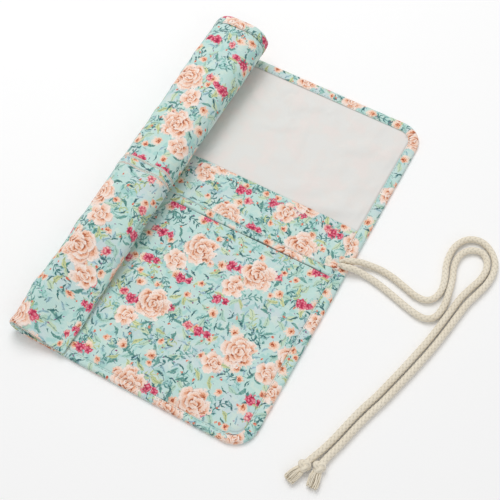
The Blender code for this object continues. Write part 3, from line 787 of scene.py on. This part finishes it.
# ------------------------------------------------------------------ plain lining cotton
# Unbleached plain-woven cotton, off-white; the print behind it shows through as faint tints.
plain_cotton, tree, output = new_material("plain_lining_cotton")
cloth = node(tree, "UVMap", uv_map="cloth")
flat = node(tree, "VectorMath.SCALE", {0: cloth.outputs[0], "Scale": 1000.0}).outputs[0]
behind = node(tree, "TexNoise", {"Vector": flat, "Scale": 0.055, "Detail": 3.0},
              noise_dimensions="2D")
tint = node(tree, "ValToRGB", [behind.outputs["Fac"]])
tint.color_ramp.elements[0].position = 0.40
tint.color_ramp.elements[0].color = linear("#E6E5E2")
tint.color_ramp.elements[1].position = 0.66
tint.color_ramp.elements[1].color = linear("#EAE3DF")
tint.color_ramp.elements.new(0.52).color = linear("#E7E4E0")
lint = node(tree, "TexNoise", {"Vector": flat, "Scale": 1.6, "Detail": 3.0},
            noise_dimensions="2D")
finish(tree, output, with_painted_shade(tree, tint.outputs[0]), lint, 0.3, 0.0002, Roughness=0.9,
       Sheen_Weight=0.15, Specular_IOR_Level=0.2)


# ------------------------------------------------------------------ wadding
# Bonded polyester wadding: white, matt and fluffy, with loose fibres that catch a little light.
soft_wadding, tree, output = new_material("bonded_polyester_wadding")
place = node(tree, "TexCoord").outputs["Object"]
fibres = node(tree, "TexNoise", {"Vector": place, "Scale": 900.0, "Detail": 4.0,
                                 "Roughness": 0.7})
finish(tree, output, linear("#F1F0EC"), fibres, 0.6, 0.0004, Roughness=1.0, Sheen_Weight=0.3,
       Sheen_Roughness=0.6, Specular_IOR_Level=0.15)


# ------------------------------------------------------------------ plies of the case
# The printed cover lies outermost, soft wadding and the plain lining on it, and on the lining
# two printed pocket plies whose mouths face the far edge.  All are caught under the binding.
def ply_heights(node_name):
    """Lower and upper face of a flat CAD ply."""
    low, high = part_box(node_name)
    return low.z, high.z


TUCK = 0.002                    # how far a pocket ply reaches under the binding


def rumpled(s_low, s_high, y_low, y_high, growth, seed):
    """Cloth simulation of a sheet sewn down at its border and a little larger than its frame."""
    spacing = 0.0038
    s_marks = np.linspace(s_low, s_high, round((s_high - s_low) / spacing) + 1)
    y_marks = np.linspace(y_low, y_high, round((y_high - y_low) / spacing) + 1)
    s, y = np.meshgrid(s_marks, y_marks, indexing="ij")
    height = np.zeros(s.shape)
    start = 0.0003 * ripple(s, y, 0.030, seed)
    mesh = bpy.data.meshes.new("rumple")
    grid = np.arange(s.size).reshape(s.shape)
    points = np.stack([s, y, start], axis=-1).reshape(-1, 3)
    mesh.from_pydata(points, [], grid_quads(grid).tolist())
    sheet = bpy.data.objects.new("rumple", mesh)
    place_in_scene(sheet)
    border = np.concatenate([grid[0], grid[-1], grid[:, 0], grid[:, -1]])
    sheet.vertex_groups.new(name="sewn").add(border.tolist(), 1.0, "REPLACE")
    cloth = sheet.modifiers.new("cloth", "CLOTH")
    cloth.settings.quality = 6
    cloth.settings.mass = 0.05
    cloth.settings.bending_stiffness = 0.08
    cloth.settings.shrink_min = -growth
    cloth.settings.vertex_group_mass = "sewn"
    cloth.settings.effector_weights.gravity = 0
    cloth.collision_settings.use_collision = False
    for step in range(1, 26):
        bpy.context.scene.frame_set(step)
    settled = sheet.evaluated_get(bpy.context.evaluated_depsgraph_get()).data
    places = np.empty(s.size * 3)
    settled.vertices.foreach_get("co", places)
    height = places[2::3].reshape(s.shape)
    bpy.data.objects.remove(sheet)
    bpy.context.scene.frame_set(1)

    def height_at(s, y):
        rows, columns = len(s_marks), len(y_marks)
        row = np.clip((s - s_low) / (s_high - s_low) * (rows - 1), 0, rows - 1.001)
        column = np.clip((y - y_low) / (y_high - y_low) * (columns - 1), 0, columns - 1.001)
        i, j = row.astype(int), column.astype(int)
        a, b = row - i, column - j
        a, b = a * a * (3 - 2 * a), b * b * (3 - 2 * b)
        return ((height[i, j] * (1 - b) + height[i, j + 1] * b) * (1 - a)
                + (height[i + 1, j] * (1 - b) + height[i + 1, j + 1] * b) * a)
    return height_at


def puffed(height):
    """Height that never goes under the flat cloth."""
    return 0.5 * (height + np.sqrt(height ** 2 + 0.0004 ** 2))


OUTER_LOW, OUTER_HIGH = STATION_S[4], STATION_S[1]      # the stretches that show on the roll
tail_rumple = rumpled(ROLL_X, FREE_EDGE_X - BINDING_WIDTH, NEAR_SEAM_Y, FAR_SEAM_Y, 0.012, 1)
roll_rumple = rumpled(OUTER_LOW, OUTER_HIGH, -HALF_LENGTH + 0.004, HALF_LENGTH - 0.009, 0.005, 2)


def edge_distance(s, y):
    """Distance from the binding's inner edge, inwards."""
    near = y - NEAR_SEAM_Y
    far = FAR_SEAM_Y - y
    free = FREE_EDGE_X - BINDING_WIDTH - s
    corner = CORNER_RADIUS - BINDING_WIDTH - np.hypot(s - CORNER_X, np.abs(y) - CORNER_Y)
    in_corner = (s > CORNER_X) & (np.abs(y) > CORNER_Y)
    return np.where(in_corner, corner, np.minimum(np.minimum(near, far), free))


def seam_gap_shade(s, y):
    """Painted shade: a dark line in the seam's narrow gap at the binding's inner edge."""
    return 0.30 * np.exp(-((edge_distance(s, y) - 0.0002) / 0.0006) ** 2) * (s > ROLL_X - 0.02)


def outermost(s):
    """1 where the cover is the outside of the roll, 0 where it lies on the table or inside."""
    station = station_of(s)
    return eased(station, 1.20, 1.7) * (1 - eased(station, 3.3, 3.9))


def tail_share(s):
    """0 in the roll and 1 on the tail."""
    return eased(s, ROLL_X - 0.004, ROLL_X + 0.006)


def cover_heights(s, y):
    """Cover: smooth under the tail, softly rumpled where it shows on the roll's outer turn."""
    low, high = ply_heights("cover_end")
    outer = outermost(s)
    inside = eased(FAR_SEAM_Y - np.abs(y), -0.001, 0.016)
    # Painted shade along the far binding's seam, where the cover is the roll's outside.
    far_seam_shade = 0.85 * outer * np.exp(-((y - FAR_SEAM_Y + 0.0003) / 0.0006) ** 2)
    swell = 0.0003 + 0.0002 * ripple(s, y, 0.055, 3) + puffed(roll_rumple(s, y))
    return low - outer * inside * swell, np.full_like(s, high), far_seam_shade


def wadding_heights(s, y):
    """Wadding: even."""
    low, high = ply_heights("wadding_end")
    return np.full_like(s, low), np.full_like(s, high), 0 * s


def lining_heights(s, y):
    """Lining: free cloth between the back pocket and the far edge."""
    low, high = ply_heights("lining_end")
    on_tail = tail_share(s)
    free = eased(y, POCKET_BACK_Y, POCKET_BACK_Y + 0.010) * on_tail
    free = free * eased(edge_distance(s, y), 0.0, 0.008)
    rise = free * (0.0003 + puffed(tail_rumple(s, y)))
    # Painted shade along the lining just beyond the back pocket's mouth.
    shade = 0.20 * np.exp(-((y - POCKET_BACK_Y - 0.0006) / 0.0008) ** 2) * on_tail
    return low + 0 * s, high + rise, np.maximum(shade, seam_gap_shade(s, y))


def back_pocket_heights(s, y):
    """Back pocket: shows between its own mouth and the front pocket's, with a folded facing."""
    low, high = ply_heights("pocket_back_end")
    inward = eased(edge_distance(s, y), -0.001, 0.006)
    on_tail = tail_share(s)
    seen = on_tail * eased(y, POCKET_FRONT_Y + 0.0008, POCKET_FRONT_Y + 0.0026)
    facing = 0.0007 * (1 - eased(y, FACING_TOP - 0.0008, FACING_TOP + 0.0004))
    mouth_hem = 0.0005 * eased(y, POCKET_BACK_Y - 0.0095, POCKET_BACK_Y - 0.0080)
    rumple = puffed(tail_rumple(s, y)) * (0.35 + 0.65 * eased(y, FACING_TOP, FACING_TOP + 0.010))
    rumple = rumple * (0.4 + 0.6 * eased(POCKET_BACK_Y - y, 0.0, 0.012))
    rise = seen * (0.0002 + facing + mouth_hem + rumple)
    sewn_rope = eased(s, SEAM_X - 0.0105, SEAM_X - 0.0035)
    sewn_rope = sewn_rope * (1 - eased(np.abs(y - SEAM_Y), 0.0055, 0.0125))
    # Painted shadow in the narrow gap just behind the front pocket's raised edge; its width wavers
    # along the mouth.
    gape = 0.0007 + 0.0006 * np.exp(-((s - 0.045) / 0.030) ** 2)
    gape = gape + 0.0003 * ripple(s, 0 * s, 0.030, 41)
    gap_shadow = 0.88 * (1 - eased(y - POCKET_FRONT_Y, gape, gape + 0.0008)) * on_tail
    gap_shadow = gap_shadow * eased(edge_distance(s, y), 0, 0.004)
    # Painted shade along the folded top edge of the facing.
    facing_edge_shade = 0.30 * np.exp(-((y - FACING_TOP - 0.0002) / 0.0005) ** 2) * on_tail
    bump = 0.0021 * sewn_rope
    return (low - 0.0002 * (1 - inward) + bump * 0.8,
            high - 0.0003 * (1 - inward) + rise * inward + bump,
            np.maximum(np.maximum(gap_shadow, facing_edge_shade), seam_gap_shade(s, y)))


def front_pocket_heights(s, y):
    """Front pocket: the largest printed field, with a folded mouth."""
    low, high = ply_heights("pocket_front_end")
    inward = eased(edge_distance(s, y), -0.001, 0.006)
    on_tail = tail_share(s)
    rumple = puffed(tail_rumple(s, y)) * (0.35 + 0.65 * eased(POCKET_FRONT_Y - y, 0.0, 0.014))
    rolled = 0.0004 * np.exp(-((POCKET_FRONT_Y - y - 0.0010) / 0.0010) ** 2)
    edge = -0.0003 * (1 - eased(POCKET_FRONT_Y - y, 0.0, 0.0008))
    rise = on_tail * (0.0003 + rumple + rolled + edge)
    return (low - 0.0005 * (1 - inward), high - 0.0006 * (1 - inward) + rise * inward,
            seam_gap_shade(s, y))


# Each ply: its heights, inset from the near edge, far side, inset from the free edge and the
# inner end, its material, slot and shift of the print.
PLIES = {
    "cover": (cover_heights, 0.0045, HALF_LENGTH - 0.0075, 0.0075, printed_cotton,
              "printed_cotton", (0.412, 0.233)),
    "wadding": (wadding_heights, 0.0012, HALF_LENGTH - 0.0012, 0.0012, soft_wadding,
                "wadding", (0.0, 0.0)),
    "lining": (lining_heights, 0.0012, HALF_LENGTH - 0.0012, 0.0012, plain_cotton,
               "plain_cotton", (0.0, 0.0)),
    "pocket_back": (back_pocket_heights, NEAR_BINDING_WIDTH - TUCK, POCKET_BACK_Y,
                    BINDING_WIDTH - TUCK, printed_cotton, "printed_cotton", (0.0, 0.0)),
    "pocket_front": (front_pocket_heights, NEAR_BINDING_WIDTH - TUCK, POCKET_FRONT_Y,
                     BINDING_WIDTH - TUCK, printed_cotton, "printed_cotton", (0.131, 0.377)),
}
# Stretches of y where a ply has narrow detail.
NEAR_SEAM = (NEAR_SEAM_Y - 0.002, NEAR_SEAM_Y + 0.002)
FAR_SEAM = (FAR_SEAM_Y - 0.002, FAR_SEAM_Y + 0.002)
FINE = {
    "cover": [FAR_SEAM],
    "wadding": [],
    "lining": [FAR_SEAM, (POCKET_BACK_Y - 0.001, POCKET_BACK_Y + 0.003)],
    "pocket_back": [(POCKET_FRONT_Y - 0.0004, POCKET_FRONT_Y + 0.0034),
                    (FACING_TOP - 0.0018, FACING_TOP + 0.0018),
                    (POCKET_BACK_Y - 0.010, POCKET_BACK_Y - 0.0075)],
    "pocket_front": [NEAR_SEAM, (POCKET_FRONT_Y - 0.0036, POCKET_FRONT_Y)],
}
for ply, (heights, near_inset, far_side, inset, material, slot, uv_shift) in PLIES.items():
    for length, (s_low, s_high, _) in LENGTHS.items():
        low = s_low + (inset if length == "roll" else 0)
        high = s_high - (inset if length == "end" else 0)
        rows = rows_between(low, high)
        if length == "end":
            arc = np.linspace(0, np.pi / 2, 17)[1:]
            rows = np.concatenate([rows[rows < CORNER_X - 0.001], [CORNER_X],
                                   CORNER_X + (high - CORNER_X) * np.sin(arc)])
        y_low = reach_y(rows, inset, -1, -HALF_LENGTH + near_inset)
        y_high = reach_y(rows, inset, 1, far_side)
        piece = slab(ply + "_" + length + "_cloth", rows, y_low, y_high, FINE[ply], heights,
                     material, uv_shift)
        for part in LENGTH_NODES[length]:
            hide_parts(ply + "_" + part)
        bend_at_crease(piece, length)
        flat = (round(float((y_high - y_low).max()), 3), round(float(rows[-1] - rows[0]), 3))


# ------------------------------------------------------------------ binding
# One strip of the printed cotton, folded over the raw edges of all plies and stitched through.
LIFT = 0.0009                   # extra height where the pockets are caught under it


def binding_ring(width, lift, outer):
    """Closed outline of the folded strip in millimetres: distances in from the edge, and heights.
    Where it is outermost on the roll, its lower face stands out from the cover."""
    upper_face = [(width, 2.85 + lift), (width - 0.35, 3.35 + lift), (width - 1.3, 3.30 + lift),
                  (width - 2.6, 3.62 + lift), (width * 0.5, 3.80 + lift), (1.7, 3.55 + lift)]
    fold = [(0.6, 3.0 + lift), (0.1, 2.2 + lift / 2), (0.0, 1.5), (0.25, 0.6)]
    lower_face = [(1.0, 0.08 - 0.3 * outer), (width * 0.5, -0.75 * outer),
                  (width - 0.9, -0.5 * outer), (width, 0.1 - 0.2 * outer)]
    inside = [(width, 0.55), (1.4, 0.6), (0.75, 1.2), (0.65, 2.0), (1.2, 2.8 + lift),
              (width - 1.0, 2.82 + lift)]
    return upper_face + fold + lower_face + inside


def strip(stations, uv_shift=None):
    """Points, faces and UV of one run of binding.  Without a place of its own its print carries on
    from the pocket above and the cover below.  A station is the function that gives a place for an
    inset and a height, the strip's width and lift there, the length walked so far, and how far it
    is outermost on the roll."""
    points, uv = [], []
    for place, width, lift, walked, outer in stations:
        ring = np.array(binding_ring(width * 1000, lift * 1000, outer)) / 1000
        points.append(place(ring[:, 0], ring[:, 1]))
        girth = distances(ring)
        if uv_shift is None:
            shift = np.where(ring[:, 1:] > 0.0014, PLIES["pocket_front"][-1], PLIES["cover"][-1])
            on_cloth = [np.full(len(ring), walked), ring[:, 0] - HALF_LENGTH]
            uv.append(np.stack(on_cloth, axis=1) + shift)
        else:
            own_place = [np.full(len(ring), walked) + uv_shift[0], girth + uv_shift[1]]
            uv.append(np.stack(own_place, axis=1))
    sides = len(points[0])
    return np.vstack(points), tube_faces(len(points), sides, False), np.vstack(uv)


def joined(name, runs, length):
    """One piece of binding from several closed runs."""
    points = np.vstack([run[0] for run in runs])
    uv = np.vstack([run[2] for run in runs])
    faces, start = [], 0
    for run in runs:
        faces += shifted(run[1], start)
        start += len(run[0])
    piece = add_piece(name, points, faces, uv, printed_cotton)
    bend_at_crease(piece, length)
    return piece


def pucker(walked, seed):
    """Slow wander of the stitched strip's height."""
    return 0.00012 * ripple(walked, 0 * walked, 0.012, seed)


def straight_stations(rows, side):
    """Stations along the near (-1) or far (1) edge."""
    stations = []
    width, base = (NEAR_BINDING_WIDTH, LIFT) if side < 0 else (BINDING_WIDTH, 0.0)
    for s in rows:
        lift = base + float(pucker(np.array(s), 5 + side))

        def place(inset, height, s=s):
            return case_points(s, side * (HALF_LENGTH - inset), height)
        stations.append((place, width, lift, s, float(outermost(np.array(s)))))
    return stations


def corner_path(centre_y, first, last):
    """Places round one of the free edge's corners, each with the direction it faces."""
    return [(CORNER_X + CORNER_RADIUS * math.cos(angle), centre_y + CORNER_RADIUS * math.sin(angle),
             angle) for angle in np.linspace(first, last, 19)]


def end_stations():
    """Stations round the tail's end: far edge, corner, free edge, corner, near edge."""
    rows = rows_between(SPLIT_MIDDLE, CORNER_X)[:-1]
    path = [(s, HALF_LENGTH, math.pi / 2) for s in rows]
    path += corner_path(CORNER_Y, math.pi / 2, 0)
    path += [(FREE_EDGE_X, y, 0.0) for y in np.linspace(CORNER_Y, -CORNER_Y, 140)[1:-1]]
    path += corner_path(-CORNER_Y, 0, -math.pi / 2)
    path += [(s, -HALF_LENGTH, -math.pi / 2) for s in rows[::-1]]
    stations, walked, last = [], 0.0, path[0]
    for x, y, angle in path:
        walked += math.hypot(x - last[0], y - last[1])
        last = (x, y)
        narrow = float(eased(-angle, 0, math.pi / 2))
        width = BINDING_WIDTH + (NEAR_BINDING_WIDTH - BINDING_WIDTH) * narrow
        lift = LIFT * float(1 - eased(np.array(y), POCKET_BACK_Y - 0.004, POCKET_BACK_Y + 0.004))
        lift += float(pucker(np.array(walked), 9))

        def place(inset, height, x=x, y=y, angle=angle):
            return np.stack([x - inset * math.cos(angle), y - inset * math.sin(angle), height],
                            axis=1)
        stations.append((place, width, lift, walked, 0.0))
    return stations


def inner_end_stations():
    """Stations along the roll's inner end, between the strips on its two ends."""
    stations = []
    for y in np.linspace(-HALF_LENGTH + 0.0003, HALF_LENGTH - 0.0003, 80):
        def place(inset, height, y=y):
            return case_points(INNER_END_S + inset, np.full_like(inset, y), height)
        stations.append((place, BINDING_WIDTH, 0.0, y, 0.0))
    return stations


for length, (s_low, s_high, _) in LENGTHS.items():
    if length == "end":
        runs = [strip(end_stations()[::-1], (0.71, 0.05))]
    else:
        low = s_low + (BINDING_WIDTH if length == "roll" else 0)
        rows = rows_between(low, s_high)
        runs = [strip(straight_stations(rows, -1)),
                strip(straight_stations(rows, 1)[::-1], (0.55, 0.12))]
        if length == "roll":
            runs.append(strip(inner_end_stations()[::-1], (0.9, 0.9)))
    binding = joined("binding_" + length + "_strip", runs, length)
    cad_names = {"roll": ["roll_near", "roll_far", "roll_inner_end"], "end": ["end"],
                 "middle": ["near_inner", "far_inner", "near_middle", "far_middle"]}[length]
    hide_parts(*["binding_" + cad_name for cad_name in cad_names])


# ------------------------------------------------------------------ topstitching
# Lockstitch in a muted sea-green thread: along the binding, along the back pocket's facing and
# mouth hem, and round the roll's far end.  Each stitch is a short thread that dips into the cloth.
STITCH_LENGTH = 0.0026
STITCH_STEP = 0.0034
THREAD = 0.00050
STITCH_SEED = 7
STITCH_FAR_Z = 0.00335          # height of the stitches on the binding along the far edge
STITCH_NEAR_Z = 0.00425
BACK_HEM = 0.0082               # from the back pocket's mouth to its line of stitches
ROPE_GAP = 0.009                # half of the stretch of seam that the rope's own sewing takes

stitch_thread, tree, output = new_material("spun_polyester_thread")
place = node(tree, "TexCoord").outputs["Object"]
twist = node(tree, "TexNoise", {"Vector": place, "Scale": 2500.0, "Detail": 2.0})
tint = node(tree, "Mix", {0: twist, 6: linear("#8FA59F"), 7: linear("#A9BCB5")},
            data_type="RGBA")
finish(tree, output, tint.outputs[2], twist, 0.4, 0.0001, Roughness=0.6, Sheen_Weight=0.2)


def stitch_tree():
    """Geometry Nodes: one stitch on each point of a mesh, along the point's own directions."""
    group = bpy.data.node_groups.new("topstitch", "GeometryNodeTree")
    for name, kind, value in (
            ("Geometry", "NodeSocketGeometry", None),
            ("Stitch length", "NodeSocketFloat", STITCH_LENGTH),
            ("Thread width", "NodeSocketFloat", THREAD), ("Seed", "NodeSocketInt", STITCH_SEED),
            ("Thread", "NodeSocketMaterial", None)):
        socket = group.interface.new_socket(name, in_out="INPUT", socket_type=kind)
        if value is not None:
            socket.default_value = value
    group.interface.new_socket("Geometry", in_out="OUTPUT", socket_type="NodeSocketGeometry")

    def add(kind, links=(), **settings):
        made = group.nodes.new(kind)
        for key, value in settings.items():
            setattr(made, key, value)
        for key, value in dict(links).items():
            if isinstance(value, bpy.types.NodeSocket):
                group.links.new(value, made.inputs[key])
            else:
                made.inputs[key].default_value = value
        return made

    given = add("NodeGroupInput").outputs
    def direction(name):
        return add("GeometryNodeInputNamedAttribute", {"Name": name},
                   data_type="FLOAT_VECTOR").outputs["Attribute"]

    along = add("FunctionNodeAlignRotationToVector", {"Vector": direction("ahead")}, axis="X")
    turned = add("FunctionNodeAlignRotationToVector",
                 {"Rotation": along.outputs[0], "Vector": direction("upward")},
                 axis="Z", pivot_axis="X")
    ball = add("GeometryNodeMeshUVSphere", {"Segments": 6, "Rings": 5, "Radius": 0.5})
    size = add("ShaderNodeCombineXYZ", {"X": given["Stitch length"], "Y": given["Thread width"],
                                        "Z": given["Thread width"]})
    vary = add("FunctionNodeRandomValue", {"Min": (0.92, 0.85, 0.85), "Max": (1.06, 1.1, 1.1),
                                           "Seed": given["Seed"]}, data_type="FLOAT_VECTOR")
    scale = add("ShaderNodeVectorMath", {0: size.outputs[0], 1: vary.outputs[0]},
                operation="MULTIPLY")
    placed = add("GeometryNodeInstanceOnPoints",
                 {"Points": given["Geometry"], "Instance": ball.outputs["Mesh"],
                  "Rotation": turned.outputs[0], "Scale": scale.outputs[0]})
    real = add("GeometryNodeRealizeInstances", {0: placed.outputs[0]})
    smooth = add("GeometryNodeSetShadeSmooth", {"Geometry": real.outputs[0]})
    painted = add("GeometryNodeSetMaterial",
                  {"Geometry": smooth.outputs[0], "Material": given["Thread"]})
    out = add("NodeGroupOutput")
    group.links.new(painted.outputs[0], out.inputs[0])
    return group


topstitch = stitch_tree()


def stitched(name, lines, length):
    """Stitches along lines of (s, y, h) on the stack, as one piece."""
    places, ahead, upward = [], [], []
    for line in lines:
        line = np.array(line, float)
        world = case_points(line[:, 0], line[:, 1], line[:, 2])
        over = case_points(line[:, 0], line[:, 1], line[:, 2] + 0.0005) - world
        walked = distances(world)
        marks = np.arange(STITCH_STEP / 2, walked[-1], STITCH_STEP)
        places.append(at_distances(marks, walked, world))
        ahead.append(at_distances(marks + STITCH_LENGTH / 2, walked, world)
                     - at_distances(marks - STITCH_LENGTH / 2, walked, world))
        upward.append(at_distances(marks, walked, over))
    mesh = bpy.data.meshes.new(name)
    mesh.from_pydata(np.vstack(places), [], [])
    for attribute, rows in (("ahead", ahead), ("upward", upward)):
        layer = mesh.attributes.new(attribute, "FLOAT_VECTOR", "POINT")
        layer.data.foreach_set("vector", np.vstack(rows).astype(np.float32).ravel())
    points = bpy.data.objects.new(name, mesh)
    place_in_scene(points)
    modifier = points.modifiers.new("topstitch", "NODES")
    modifier.node_group = topstitch
    sockets = {item.name: item.identifier for item in topstitch.interface.items_tree
               if item.in_out == "INPUT"}
    for key, value in (("Stitch length", STITCH_LENGTH), ("Thread width", THREAD),
                       ("Seed", STITCH_SEED), ("Thread", stitch_thread)):
        modifier[sockets[key]] = value
    finished = points.evaluated_get(bpy.context.evaluated_depsgraph_get())
    made = bpy.data.meshes.new_from_object(finished)
    points.modifiers.clear()
    points.data = made
    bend_at_crease(points, length)


STITCH_IN = 0.0012              # how far a stitch line lies inside the strip's edge


def tail_lines(low, high):
    """Stitch lines that run along the tail between two values of s."""
    s = np.linspace(low, high, 40)
    lines = [[(x, NEAR_SEAM_Y - STITCH_IN, STITCH_NEAR_Z) for x in s],
             [(x, FAR_SEAM_Y + STITCH_IN, STITCH_FAR_Z) for x in s]]
    for y in (FACING_TOP - STITCH_IN, POCKET_BACK_Y - BACK_HEM):
        tops = back_pocket_heights(s, np.full_like(s, y))[1]
        lines.append([(x, y, top + 0.00005) for x, top in zip(s, tops)])
    return lines


inset = BINDING_WIDTH - STITCH_IN
radius = CORNER_RADIUS - inset
far_arc = [(CORNER_X + radius * math.cos(angle), CORNER_Y + radius * math.sin(angle), STITCH_FAR_Z)
           for angle in np.linspace(math.pi / 2, 0, 12)]
free_line = [(FREE_EDGE_X - inset, y, STITCH_FAR_Z + LIFT * float(y < POCKET_BACK_Y))
             for y in np.linspace(CORNER_Y, -CORNER_Y, 80) if abs(y - SEAM_Y) > ROPE_GAP]
roll_line = [(s, FAR_SEAM_Y + STITCH_IN, -0.0006 * float(outermost(np.array(s))))
             for s in np.linspace(OUTER_LOW, OUTER_HIGH, 60)]
stitched("topstitch_end", tail_lines(SPLIT_MIDDLE, CORNER_X) + [far_arc, free_line], "end")
stitched("topstitch_middle", tail_lines(SPLIT_INNER, SPLIT_MIDDLE), "middle")
stitched("topstitch_roll", tail_lines(ROLL_X - 0.002, SPLIT_INNER) + [roll_line], "roll")
